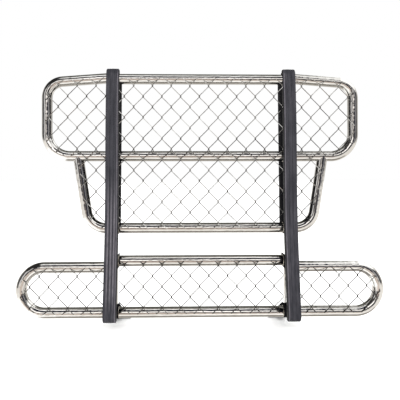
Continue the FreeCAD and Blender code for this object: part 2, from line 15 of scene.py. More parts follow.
import bmesh
import bpy
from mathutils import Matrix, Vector

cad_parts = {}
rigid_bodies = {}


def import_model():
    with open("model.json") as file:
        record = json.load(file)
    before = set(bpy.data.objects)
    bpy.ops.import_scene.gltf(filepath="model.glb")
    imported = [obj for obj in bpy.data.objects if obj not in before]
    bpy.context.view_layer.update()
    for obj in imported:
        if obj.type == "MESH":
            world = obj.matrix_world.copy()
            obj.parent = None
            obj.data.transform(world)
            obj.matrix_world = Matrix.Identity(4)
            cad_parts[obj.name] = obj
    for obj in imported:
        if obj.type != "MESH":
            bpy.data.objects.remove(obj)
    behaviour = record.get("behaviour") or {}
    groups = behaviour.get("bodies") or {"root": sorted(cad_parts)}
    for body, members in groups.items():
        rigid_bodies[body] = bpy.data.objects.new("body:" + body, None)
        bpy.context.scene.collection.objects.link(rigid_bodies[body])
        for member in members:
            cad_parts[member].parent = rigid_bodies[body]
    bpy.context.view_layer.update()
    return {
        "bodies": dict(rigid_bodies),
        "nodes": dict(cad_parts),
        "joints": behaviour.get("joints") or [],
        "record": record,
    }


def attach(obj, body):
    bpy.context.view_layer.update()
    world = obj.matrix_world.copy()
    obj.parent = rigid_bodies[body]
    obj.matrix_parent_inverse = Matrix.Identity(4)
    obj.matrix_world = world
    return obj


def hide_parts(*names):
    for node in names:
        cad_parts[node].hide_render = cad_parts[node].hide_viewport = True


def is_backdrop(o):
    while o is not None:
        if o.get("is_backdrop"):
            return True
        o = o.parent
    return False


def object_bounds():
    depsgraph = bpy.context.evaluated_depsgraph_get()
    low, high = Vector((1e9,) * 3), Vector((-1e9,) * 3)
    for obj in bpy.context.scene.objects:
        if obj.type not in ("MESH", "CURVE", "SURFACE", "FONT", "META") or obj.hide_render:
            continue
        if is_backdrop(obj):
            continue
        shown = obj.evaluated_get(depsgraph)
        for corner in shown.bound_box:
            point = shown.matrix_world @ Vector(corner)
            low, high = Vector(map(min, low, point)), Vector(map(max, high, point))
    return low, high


LOG = logging.getLogger("grille_guard")
ORIGIN = (0.0, 0.0, 0.0)
NEAR = 1e-4                         # points nearer than this count as being at the same place
Colour = tuple[float, float, float]
Span = tuple[float, float]
Stops = tuple[tuple[float, Colour], ...]
Material = bpy.types.Material
Socket = bpy.types.NodeSocket


class Side(Enum):
    """The two halves of the guard, by the sign of X."""

    LEFT = -1
    RIGHT = 1

    @property
    def label(self) -> str:
        """The side's word in piece names."""
        return self.name.lower()


class Body(Enum):
    """Rigid bodies of the frame."""

    GUARD = "guard"
    BRACKETS = "brackets"


class Slot(Enum):
    """Material slots of the record."""

    TUBE = "polished_tube"
    WIRE = "woven_wire"
    PLATE = "black_steel"
    RUBBER = "rubber_trim"
    BRACKET = "bracket_steel"
    BUSH = "bush_bronze"
    FASTENER = "zinc_fasteners"


class Pick(Enum):
    """What is selected in edit mode."""

    POINTS = "VERT"
    EDGES = "EDGE"
    FACES = "FACE"


class Cut(Enum):
    """What a second shape does to the first."""

    JOIN = "UNION"
    REMOVE = "DIFFERENCE"
    KEEP_INSIDE = "INTERSECT"


class Sum(Enum):
    """What a Math node works out."""

    PLUS = "ADD"
    MINUS = "SUBTRACT"
    TIMES = "MULTIPLY"
    LARGER = "MAXIMUM"
    SIZE = "ABSOLUTE"
    ANGLE = "ARCTAN2"


# ---- hand tools ---------------------------------------------------------------------------------
class Piece:
    """One mesh under work with the modelling operators, its place held in its vertices."""

    def __init__(self, name: str) -> None:
        """Take the active object as the start of a piece.

        Args:
            name: The piece's name in the table of pieces.
        """
        self.obj: bpy.types.Object = bpy.context.active_object
        self.obj.name = name
        bpy.ops.object.transform_apply(location=True, rotation=True, scale=True)

    @classmethod
    def add(cls, name: str, primitive: Callable[..., set], **settings: object) -> "Piece":
        """Add a primitive with nothing else selected.

        Args:
            name: The new piece's name.
            primitive: The operator that adds it.
            settings: What the operator is given.

        Returns:
            The piece that starts from it.
        """
        bpy.ops.object.select_all(action="DESELECT")
        primitive(**settings)
        return cls(name)

    @classmethod
    def block(cls, name: str, low: Sequence[float], high: Sequence[float]) -> "Piece":
        """Add a block between two corners.

        Args:
            name: The new piece's name.
            low: Lowest corner.
            high: Highest corner.

        Returns:
            The block.
        """
        low, high = Vector(low), Vector(high)
        return cls.add(name, bpy.ops.mesh.primitive_cube_add, size=1.0, location=(low + high) / 2,
                       scale=high - low)

    @classmethod
    def rod(cls, name: str, start: Vector, end: Vector, radius: float, sides: int) -> "Piece":
        """Add a round bar between two points.

        Args:
            name: The new piece's name.
            start: Centre of one end.
            end: Centre of the other end.
            radius: Radius of the bar.
            sides: Number of its sides.

        Returns:
            The bar.
        """
        along = end - start
        turn = along.to_track_quat("Z", "Y").to_euler()
        return cls.add(name, bpy.ops.mesh.primitive_cylinder_add, vertices=sides, radius=radius,
                       depth=along.length, location=(start + end) / 2, rotation=turn)

    @classmethod
    def copy_of(cls, name: str, source: bpy.types.Object) -> "Piece":
        """Copy another object's mesh into a new piece.

        Args:
            name: The new piece's name.
            source: The object whose mesh is copied.

        Returns:
            The copy, which has no parent.
        """
        bpy.ops.object.select_all(action="DESELECT")
        twin = bpy.data.objects.new(name, source.data.copy())
        bpy.context.scene.collection.objects.link(twin)
        twin.select_set(True)
        bpy.context.view_layer.objects.active = twin
        return cls(name)

    def activate(self) -> None:
        """Select this piece alone."""
        bpy.ops.object.select_all(action="DESELECT")
        self.obj.select_set(True)
        bpy.context.view_layer.objects.active = self.obj

    @contextmanager
    def editing(self, kind: Pick = Pick.POINTS) -> Iterator[None]:
        """Hold the piece in edit mode with everything selected.

        Args:
            kind: What is selected.

        Yields:
            Nothing; the piece goes back to object mode afterwards.
        """
        self.activate()
        bpy.ops.object.mode_set(mode="EDIT")
        bpy.ops.mesh.select_mode(type=kind.value)
        bpy.ops.mesh.select_all(action="SELECT")
        yield
        bpy.ops.object.mode_set(mode="OBJECT")

    def pick(self, kind: Pick, test: Callable[..., bool]) -> None:
        """In edit mode, select just what passes a test.

        Args:
            kind: What is picked.
            test: Is given a point's place, an edge's two ends, or a face's middle and normal.
        """
        bpy.ops.mesh.select_mode(type=kind.value)
        bpy.ops.mesh.select_all(action="DESELECT")
        mesh = bmesh.from_edit_mesh(self.obj.data)
        if kind is Pick.POINTS:
            for point in mesh.verts:
                point.select_set(test(point.co))
            mesh.select_flush_mode()
        elif kind is Pick.EDGES:
            for edge in mesh.edges:
                edge.select_set(test(edge.verts[0].co, edge.verts[1].co))
        else:
            for face in mesh.faces:
                face.select_set(test(face.calc_center_median(), face.normal))
        bmesh.update_edit_mesh(self.obj.data)

    @staticmethod
    def pull(step: Vector) -> None:
        """In edit mode, extrude what is selected by a step."""
        bpy.ops.mesh.extrude_region_move(TRANSFORM_OT_translate={"value": step})

    @staticmethod
    def slice(point: Sequence[float], normal: Sequence[float], clear: bool = False) -> None:
        """In edit mode, cut all along a plane.

        Args:
            point: A point of the plane.
            normal: The plane's direction.
            clear: Whether what lies on the normal's side goes.
        """
        bpy.ops.mesh.select_all(action="SELECT")
        bpy.ops.mesh.bisect(plane_co=point, plane_no=normal, clear_outer=clear)

    def modify(self, kind: str, **settings: object) -> None:
        """Add a modifier and apply it.

        Args:
            kind: The modifier's type.
            settings: Its properties.
        """
        self.activate()
        modifier = self.obj.modifiers.new(kind.lower(), kind)
        for key, value in settings.items():
            setattr(modifier, key, value)
        bpy.ops.object.modifier_apply(modifier=modifier.name)

    def combine(self, other: "Piece", cut: Cut, closed: bool = False) -> None:
        """Join with, cut by or keep only what is inside another piece, which is used up.

        Args:
            other: The other piece.
            cut: What the other piece does.
            closed: Whether both are closed meshes, which the faster method needs.
        """
        solver = "MANIFOLD" if closed else "EXACT"
        self.modify("BOOLEAN", object=other.obj, operation=cut.value, solver=solver)
        other.discard()

    def discard(self) -> None:
        """Remove the piece."""
        bpy.data.objects.remove(self.obj)

    def absorb(self, others: Sequence["Piece"]) -> None:
        """Take other pieces' meshes into this one.

        Args:
            others: The pieces, which are used up.
        """
        self.activate()
        for other in others:
            other.obj.select_set(True)
        bpy.ops.object.join()

    def outward(self, gap: float = 1e-6) -> None:
        """Merge doubled vertices and turn all faces outwards.

        Args:
            gap: Vertices nearer than this are one.
        """
        with self.editing():
            bpy.ops.mesh.remove_doubles(threshold=gap)
            bpy.ops.mesh.normals_make_consistent(inside=False)

    def smooth(self, degrees: float = 35.0) -> None:
        """Shade smoothly except over edges sharper than an angle."""
        self.activate()
        bpy.ops.object.shade_smooth_by_angle(angle=math.radians(degrees))

    def mirrored(self, name: str) -> "Piece":
        """The same piece on the other side of the guard's centre plane.

        Args:
            name: The copy's name.

        Returns:
            The mirrored copy, its faces outwards.
        """
        twin = Piece.copy_of(name, self.obj)
        with twin.editing():
            bpy.ops.transform.resize(value=(-1.0, 1.0, 1.0), center_override=ORIGIN)
            bpy.ops.mesh.flip_normals()
        return twin

    def dress(self, material: Material, slot: Slot, body: Body, *nodes: str) -> "Piece":
        """Give the piece its finish and hang it on its body.

        Args:
            material: The finish.
            slot: The record's slot that the finish belongs to; not used.
            body: The body that it moves with.
            nodes: CAD nodes that it stands for.

        Returns:
            The piece itself.
        """
        self.obj.data.materials.clear()
        self.obj.data.materials.append(material)
        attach(self.obj, body.value)
        if nodes:
            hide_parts(*nodes)
        faces = len(self.obj.data.polygons)
        LOG.info("%s: %d faces, %s on %s", self.obj.name, faces, material.name, body.value)
        return self


# ---- finishes -----------------------------------------------------------------------------------
class NodeBench:
    """A node tree under work, with short ways to add and join its nodes."""

    def __init__(self, tree: bpy.types.NodeTree) -> None:
        """Take the tree that the nodes go in."""
        self.nodes, self.links = tree.nodes, tree.links

    def put(self, kind: str, **inputs: object) -> bpy.types.Node:
        """Add a node and fill its inputs.

        Args:
            kind: The node's type after ShaderNode.
            inputs: Sockets or values by input name, with _ for a blank.

        Returns:
            The node.
        """
        node = self.nodes.new("ShaderNode" + kind)
        for name, value in inputs.items():
            self.feed(node.inputs[name.replace("_", " ")], value)
        return node

    def feed(self, socket: Socket, value: object) -> None:
        """Link or set one input."""
        if isinstance(value, Socket):
            self.links.new(value, socket)
        else:
            socket.default_value = value

    def span(self, value: Socket, low: float, high: float, out_low: float = 0.0,
             out_high: float = 1.0) -> Socket:
        """Map a range of values to another, held at its ends."""
        node = self.put("MapRange", Value=value, From_Min=low, From_Max=high, To_Min=out_low,
                        To_Max=out_high)
        return node.outputs[0]

    def calc(self, work: Sum, first: object, second: object = 0.0) -> Socket:
        """One sum on two values."""
        node = self.nodes.new("ShaderNodeMath")
        node.operation = work.value
        self.feed(node.inputs[0], first)
        self.feed(node.inputs[1], second)
        return node.outputs[0]

    def blend(self, share: object, first: object, second: object) -> Socket:
        """Mix two colours.

        Args:
            share: How much of the second there is.
            first: Colour or socket.
            second: Colour or socket.

        Returns:
            The mixed colour.
        """
        node = self.nodes.new("ShaderNodeMix")
        node.data_type = "RGBA"
        self.feed(node.inputs["Factor"], share)
        for name, value in (("A", first), ("B", second)):
            socket = [s for s in node.inputs if s.name == name and s.type == "RGBA"][0]
            self.feed(socket, value if isinstance(value, Socket) else (*value, 1.0))
        return [s for s in node.outputs if s.type == "RGBA"][0]


class Recipe(NodeBench):
    """Shader nodes of one finish, laid out from Object coordinates to the Principled shader."""

    def __init__(self, name: str) -> None:
        """Start a material with its shader.

        Args:
            name: The material's name.
        """
        self.material: Material = bpy.data.materials.new(name)
        self.material.use_nodes = True
        super().__init__(self.material.node_tree)
        self.shader = self.nodes["Principled BSDF"]
        self.place = self.nodes.new("ShaderNodeTexCoord").outputs["Object"]
        self.normal: Socket | None = None

    def noise(self, scale: float, detail: float = 4.0, rough: float = 0.55,
              stretch: Sequence[float] = (1.0, 1.0, 1.0), shift: float = 0.0) -> Socket:
        """Cloudy pattern, drawn out along an axis where stretch is below one.

        Args:
            scale: Features per metre.
            detail: Octaves of detail.
            rough: Weight of the finer octaves.
            stretch: Scale of the pattern on each axis.
            shift: How far the pattern is moved along every axis.

        Returns:
            A value of about 0.3 to 0.7 over most of the surface.
        """
        mapping = self.put("Mapping", Vector=self.place, Scale=tuple(stretch), Location=(shift,) * 3)
        noise = self.put("TexNoise", Vector=mapping.outputs[0], Scale=scale, Detail=detail, Roughness=rough)
        return noise.outputs[0]

    def relief(self, height: Socket, depth: float, strength: float = 1.0) -> None:
        """Add a layer of bump on top of the ones before it.

        Args:
            height: The pattern.
            depth: Its height in metres.
            strength: How much of it shows.
        """
        node = self.put("Bump", Height=height, Distance=depth, Strength=strength)
        if self.normal is not None:
            self.links.new(self.normal, node.inputs["Normal"])
        self.normal = node.outputs[0]

    def finish(self, colour: object, roughness: object, **uniform: float) -> Material:
        """Wire up the shader.

        Args:
            colour: Base colour.
            roughness: Roughness.
            uniform: Plain values on the shader's own sockets.

        Returns:
            The material.
        """
        self.feed(self.shader.inputs["Base Color"], colour)
        self.feed(self.shader.inputs["Roughness"], roughness)
        if self.normal is not None:
            self.links.new(self.normal, self.shader.inputs["Normal"])
        for name, value in uniform.items():
            self.shader.inputs[name.replace("_", " ")].default_value = value
        return self.material


@dataclass(frozen=True)
class PolishedSteel:
    """Mirror polished stainless tube with buffing lines, hazy patches and hairline scratches."""

    name: str = "mirror_polished_stainless"
    light: Colour = (0.76, 0.75, 0.735)
    dark: Colour = (0.66, 0.645, 0.62)
    mirror: float = 0.010
    haze: float = 0.045
    scratch_haze: float = 0.10
    buffing: float = 60.0
    hairs: float = 420.0
    wave_depth: float = 0.0009
    dent_depth: float = 0.0022
    buff_depth: float = 0.00004
    scratch_depth: float = 0.00003

    def build(self) -> Material:
        """Make the material."""
        recipe = Recipe(self.name)
        patches = recipe.noise(17.0, 6.0, 0.62, shift=3.0)
        buff_x = recipe.noise(self.buffing, 3.0, stretch=(0.05, 1.0, 1.0))
        buff_z = recipe.noise(self.buffing, 3.0, stretch=(1.0, 1.0, 0.05), shift=7.0)
        hairs_x = recipe.noise(self.hairs, 2.0, stretch=(0.03, 1.0, 1.0), shift=1.0)
        hairs_z = recipe.noise(self.hairs, 2.0, stretch=(1.0, 1.0, 0.03), shift=2.0)
        scratch = recipe.span(recipe.calc(Sum.LARGER, hairs_x, hairs_z), 0.68, 0.76)
        tint = recipe.span(recipe.noise(2.6, 3.0), 0.35, 0.65)
        colour = recipe.blend(tint, self.dark, self.light)
        gloss = recipe.span(patches, 0.42, 0.74, self.mirror, self.haze)
        gloss = recipe.calc(Sum.PLUS, gloss, recipe.calc(Sum.TIMES, scratch, self.scratch_haze))
        recipe.relief(recipe.noise(9.0, 2.0, 0.4), self.wave_depth, 0.35)
        recipe.relief(recipe.noise(27.0, 1.5, 0.5, shift=11.0), self.dent_depth, 0.8)
        recipe.relief(recipe.calc(Sum.PLUS, buff_x, buff_z), self.buff_depth, 0.30)
        recipe.relief(scratch, self.scratch_depth, 0.25)
        return recipe.finish(colour, gloss, Metallic=1.0)


@dataclass(frozen=True)
class DrawnWire:
    """Drawn stainless wire with die lines and dulled bends."""

    name: str = "drawn_stainless_wire"
    light: Colour = (0.46, 0.455, 0.445)
    dark: Colour = (0.27, 0.265, 0.255)
    # colour that the wire darkens to towards the bottom
    grime: Colour = (0.15, 0.145, 0.135)
    grimy_between: Span = (0.50, 0.40)
    gloss: Span = (0.12, 0.24)
    line_depth: float = 0.00006

    def build(self) -> Material:
        """Make the material, darker towards the bottom."""
        recipe = Recipe(self.name)
        dull = recipe.noise(38.0, 5.0)
        colour = recipe.blend(recipe.span(dull, 0.38, 0.64), self.light, self.dark)
        height = recipe.put("SeparateXYZ", Vector=recipe.place).outputs["Z"]
        # darker towards the bottom
        colour = recipe.blend(recipe.span(height, *self.grimy_between), colour, self.grime)
        gloss = recipe.span(dull, 0.35, 0.68, *self.gloss)
        recipe.relief(recipe.noise(700.0, 3.0), self.line_depth, 0.4)
        return recipe.finish(colour, gloss, Metallic=1.0)


@dataclass(frozen=True)
class PowderCoat:
    """Black powder coat with its orange peel, dust in its hollows and rubbed edges."""

    name: str
    base: Colour = (0.005, 0.005, 0.006)
    dust: Colour = (0.018, 0.018, 0.018)
    # colour of edges worn through the coat
    rubbed: Colour = (0.12, 0.115, 0.11)
    gloss: float = 0.55
    gloss_range: float = 0.2
    sheen: float = 0.0
    peel_depth: float = 0.0002
    sag_depth: float = 0.0003

    def build(self) -> Material:
        """Make the material."""
        recipe = Recipe(self.name)
        edges = recipe.put("NewGeometry").outputs["Pointiness"]
        broad = recipe.noise(7.0, 5.0)
        specks = recipe.noise(140.0, 5.0, 0.7, shift=4.0)
        worn = recipe.calc(Sum.TIMES, recipe.span(edges, 0.53, 0.62), recipe.span(specks, 0.5, 0.6))
        dusty = recipe.blend(recipe.span(broad, 0.5, 0.75, 0.0, 0.55), self.base, self.dust)
        colour = recipe.blend(worn, dusty, self.rubbed)
        mottle = recipe.noise(30.0, 5.0)
        gloss = recipe.span(mottle, 0.35, 0.7, self.gloss, self.gloss + self.gloss_range)
        recipe.relief(recipe.noise(650.0, 2.0, 0.4), self.peel_depth, 0.5)
        recipe.relief(recipe.noise(60.0, 3.0, shift=2.0), self.sag_depth, 0.2)
        return recipe.finish(colour, gloss, Specular_IOR_Level=self.sheen)


@dataclass(frozen=True)
class MouldedRubber:
    """Black moulded rubber, finely grained, with a bloom and scuffs drawn out along its length, painted
    highlights along its ridges and inner edge, and painted shade on its sideways faces.
    """

    name: str = "moulded_black_rubber"
    base: Colour = (0.023, 0.023, 0.028)
    bloom: Colour = (0.062, 0.060, 0.069)
    scuff: Colour = (0.105, 0.100, 0.108)
    # painted highlight colour of the trims' ridges and inner edge
    rubbed: Colour = (0.150, 0.138, 0.155)
    # colour of the painted shade on the sideways-facing lips
    lip: Colour = (0.007, 0.007, 0.009)
    upright_x: float = 0.489
    ridges: tuple[float, ...] = (-0.0165, 0.0, 0.0175)
    ridge_fade: Span = (0.0062, 0.0015)
    edge_line: float = -0.0285
    edge_fade: Span = (0.0040, 0.0010)
    edge_share: float = 0.75
    # heights where the painted highlights on the ridges start and fade out, and their share on each trim
    rubbed_from: Span = (0.10, 0.22)
    rubbed_until: Span = (0.86, 0.62)
    rubbed_shares: Span = (0.85, 0.06)
    end_band: Span = (1.392, 1.410)
    gloss: Span = (0.38, 0.58)
    sheen: float = 0.06
    grain_depth: float = 0.00012
    streak_depth: float = 0.0002

    def build(self) -> Material:
        """Make the material."""
        recipe = Recipe(self.name)
        streaks = recipe.noise(70.0, 4.0, stretch=(1.0, 1.0, 0.06))
        cloud = recipe.noise(6.0, 5.0, shift=5.0)
        marks = recipe.noise(120.0, 5.0, 0.65, stretch=(1.0, 1.0, 0.25), shift=9.0)
        share = recipe.calc(Sum.TIMES, recipe.span(streaks, 0.35, 0.7, 0.15, 1.0),
                            recipe.span(cloud, 0.3, 0.7, 0.35, 1.0))
        colour = recipe.blend(share, self.base, self.bloom)
        colour = recipe.blend(recipe.span(marks, 0.66, 0.78, 0.0, 0.5), colour, self.scuff)
        place = recipe.put("SeparateXYZ", Vector=recipe.place)
        # painted highlights along the ridges and the inner edge, mostly on the left trim's lower part
        colour = recipe.blend(self.lines(recipe, place, marks), colour, self.rubbed)
        colour = recipe.blend(recipe.span(place.outputs["Z"], *self.end_band, 0.0, 0.75), colour, self.base)
        # painted shade: faces turned sideways, such as the lips, are darkened towards the lip colour
        facing = recipe.put("SeparateXYZ", Vector=recipe.put("NewGeometry").outputs["Normal"])
        painted_side_shade = recipe.span(recipe.calc(Sum.SIZE, facing.outputs["X"]), 0.55, 0.85, 0.0, 0.85)
        colour = recipe.blend(painted_side_shade, colour, self.lip)
        recipe.relief(recipe.noise(1100.0, 3.0), self.grain_depth, 0.45)
        recipe.relief(streaks, self.streak_depth, 0.25)
        gloss = recipe.span(streaks, 0.3, 0.7, *self.gloss)
        return recipe.finish(colour, gloss, Specular_IOR_Level=self.sheen)

    def lines(self, recipe: Recipe, place: bpy.types.Node, marks: Socket) -> Socket:
        """Painted highlights along the moulding's ridges and its inner edge.

        Args:
            recipe: The recipe that the nodes go in.
            place: Gives the place on the guard as X, Y and Z.
            marks: Pattern that breaks the lines up.

        Returns:
            Share of painted highlight, the ridges' mostly on the lower part of the left trim.
        """
        right, height = place.outputs["X"], place.outputs["Z"]
        across = recipe.calc(Sum.MINUS, recipe.calc(Sum.SIZE, right), self.upright_x)
        low = recipe.calc(Sum.TIMES, recipe.span(height, *self.rubbed_until),
                          recipe.span(height, *self.rubbed_from))
        low = recipe.calc(Sum.TIMES, low, recipe.span(right, -0.1, 0.1, *self.rubbed_shares))
        share = self.stripe(recipe, across, self.edge_line, self.edge_fade, self.edge_share)
        for ridge in self.ridges:
            share = recipe.calc(Sum.LARGER, share, self.stripe(recipe, across, ridge, self.ridge_fade, low))
        return recipe.calc(Sum.TIMES, share, recipe.span(marks, 0.30, 0.58, 0.45, 1.0))

    @staticmethod
    def stripe(recipe: Recipe, across: Socket, middle: float, fade: Span, share: object) -> Socket:
        """One line along the trim.

        Args:
            recipe: The recipe that the nodes go in.
            across: Distance outwards from the trim's centre line.
            middle: That distance in the middle of the line.
            fade: Distances from its middle where it starts and is full.
            share: How strong it is there.

        Returns:
            The line's strength.
        """
        away = recipe.calc(Sum.SIZE, recipe.calc(Sum.MINUS, across, middle))
        return recipe.calc(Sum.TIMES, recipe.span(away, *fade), share)


@dataclass(frozen=True)
class PlatedMetal:
    """Plated or plain turned metal, blotched and finely scratched."""

    name: str
    light: Colour
    dark: Colour
    gloss: float = 0.24
    gloss_range: float = 0.18
    scratch_depth: float = 0.00005
    blotch_depth: float = 0.00008

    def build(self) -> Material:
        """Make the material."""
        recipe = Recipe(self.name)
        blotch = recipe.noise(55.0, 6.0, 0.6)
        colour = recipe.blend(recipe.span(blotch, 0.36, 0.68), self.light, self.dark)
        gloss = recipe.span(blotch, 0.35, 0.7, self.gloss, self.gloss + self.gloss_range)
        recipe.relief(recipe.noise(900.0, 3.0, stretch=(0.1, 1.0, 1.0)), self.scratch_depth, 0.4)
        recipe.relief(blotch, self.blotch_depth, 0.3)
        return recipe.finish(colour, gloss, Metallic=1.0)


@dataclass(frozen=True)
class PaleFloor:
    """Pale studio floor, faintly clouded."""

    name: str = "pale_studio_floor"
    light: Colour = (0.97, 0.97, 0.965)
    dark: Colour = (0.94, 0.94, 0.935)
    roughness: float = 0.75
    grain_depth: float = 0.0001
    glow: float = 0.22

    def build(self) -> Material:
        """Make the material."""
        recipe = Recipe(self.name)
        colour = recipe.blend(recipe.span(recipe.noise(1.5, 4.0), 0.35, 0.65), self.dark, self.light)
        recipe.relief(recipe.noise(300.0, 2.0), self.grain_depth, 0.2)
        recipe.shader.inputs["Emission Color"].default_value = (1.0, 1.0, 1.0, 1.0)
        return recipe.finish(colour, self.roughness, Emission_Strength=self.glow)


def made(build: Callable[[], Material]) -> Material:
    """A field that holds a material, made when its owner is."""
    return field(default_factory=build)


@dataclass
class Finishes:
    """Every finish of the guard, made once."""

    tube: Material = made(PolishedSteel().build)
    wire: Material = made(DrawnWire().build)
    plate: Material = made(PowderCoat("satin_black_plate").build)
    bracket: Material = made(
        PowderCoat("textured_black_bracket", base=(0.014, 0.014, 0.015), gloss=0.5, sheen=0.3).build)
    rubber: Material = made(MouldedRubber().build)
    zinc: Material = made(PlatedMetal("bright_zinc", (0.66, 0.67, 0.69), (0.42, 0.44, 0.48)).build)
    bronze: Material = made(PlatedMetal("bearing_bronze", (0.66, 0.45, 0.22), (0.40, 0.25, 0.11)).build)
    weld: Material = made(PlatedMetal("brushed_weld", (0.56, 0.53, 0.48), (0.33, 0.28, 0.22), 0.2).build)
    floor: Material = made(PaleFloor().build)


# ---- sizes that several sub-assemblies share ----------------------------------------------------
@dataclass(frozen=True)
class Layout:
    """Heights, widths and planes of the guard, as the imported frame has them.

    Tubes are given by their centre lines, and widths are measured from the guard's middle.
    """

    plane_y: float = -0.245
    lower_plane_y: float = -0.243425
    front_y: float = -0.273575
    upper_radius: float = 0.028575
    lower_radius: float = 0.03015
    inner_x: float = 0.4585
    outer_x: float = 0.5195
    upright_x: float = 0.489
    top_bar_z: float = 1.3715
    wing_root_z: float = 1.3755
    wing_droop: float = math.radians(4.3)
    middle_bar_z: float = 0.9415
    bucket_bar_z: float = 0.5415
    lower_top_bar_z: float = 0.3585
    lower_wing_top_z: float = 0.3235
    bottom_bar_z: float = 0.0715
    upper_half_width: float = 0.884
    lower_half_width: float = 1.0264
    upper_corner: float = 0.091
    middle_corner: float = 0.126
    bucket_corner: float = 0.106
    leg_top_x: float = 0.683
    leg_lean: float = math.radians(8.65)
    trim_half_width: float = 0.0355
    bend_slack: float = 0.0005

    def wing_corners(self, root_x: float) -> list[Vector]:
        """Centre-line corners of the right upper wing.

        Args:
            root_x: Where its upper run starts.

        Returns:
            Four corners from the top bar's end round to the middle bar's end.
        """
        end_x = self.upper_half_width - self.upper_radius
        fall = math.tan(self.wing_droop)
        places = [(x, self.wing_root_z - (x - self.outer_x) * fall) for x in (root_x, end_x)]
        places += [(end_x, self.middle_bar_z), (self.outer_x, self.middle_bar_z)]
        return [Vector((x, self.plane_y, z)) for x, z in places]

    def leg_corners(self) -> list[Vector]:
        """Centre-line corners of the right bucket leg, from the middle bar to the upright."""
        foot_x = self.leg_top_x - (self.middle_bar_z - self.bucket_bar_z) * math.tan(self.leg_lean)
        return [Vector((self.leg_top_x, self.plane_y, self.middle_bar_z)),
                Vector((foot_x, self.plane_y, self.bucket_bar_z)),
                Vector((self.outer_x, self.plane_y, self.bucket_bar_z))]

    def lower_wing_corners(self) -> list[Vector]:
        """Centre-line corners of the right lower wing."""
        end_x = self.lower_half_width - self.lower_radius
        return [Vector((x, self.lower_plane_y, z)) for x, z in (
            (self.outer_x, self.lower_wing_top_z), (end_x, self.lower_wing_top_z),
            (end_x, self.bottom_bar_z), (self.outer_x, self.bottom_bar_z))]

    @property
    def lower_bend(self) -> float:
        """Bend radius that makes the lower wing's end one half round."""
        return (self.lower_wing_top_z - self.bottom_bar_z) / 2 - self.bend_slack


# ---- tubes --------------------------------------------------------------------------------------
@dataclass(frozen=True)
class TubeStock:
    """Round tube of one size, drawn out straight and bent."""

    radius: float
    wall: float = 0.002
    sides: int = 64
    bend_step: float = math.radians(3.0)
    fewest_steps: int = 4

    def run(self, name: str, corners: Sequence[Vector], radii: Sequence[float]) -> Piece:
        """Draw an open tube from its first corner round the others to its last.

        Args:
            name: The piece's name.
            corners: Where the centre line's straight runs meet.
            radii: Bend radius at each inner corner.

        Returns:
            The tube's outer skin.
        """
        first = (corners[1] - corners[0]).normalized()
        piece = Piece.add(name, bpy.ops.mesh.primitive_circle_add, vertices=self.sides, radius=self.radius,
                          location=corners[0], rotation=first.to_track_quat("Z", "Y").to_euler())
        with piece.editing():
            here = corners[0]
            for before, corner, after, radius in zip(corners, corners[1:], corners[2:], radii):
                arriving = (corner - before).normalized()
                leaving = (after - corner).normalized()
                turn = arriving.angle(leaving)
                tangent = radius * math.tan(turn / 2)
                enter = corner - arriving * tangent
                axis = arriving.cross(leaving).normalized()
                centre = enter + axis.cross(arriving) * radius
                piece.pull(enter - here)
                steps = max(self.fewest_steps, round(turn / self.bend_step))
                bpy.ops.mesh.spin(steps=steps, angle=-turn, center=centre, axis=axis)
                here = corner + leaving * tangent
            piece.pull(corners[-1] - here)
        return piece

    def give_wall(self, piece: Piece) -> None:
        """Close a skin with its wall thickness, laid inwards.

        Args:
            piece: The skin from run().
        """
        piece.outward()
        piece.modify("SOLIDIFY", thickness=self.wall, offset=-1.0, use_even_offset=True)
        piece.smooth()


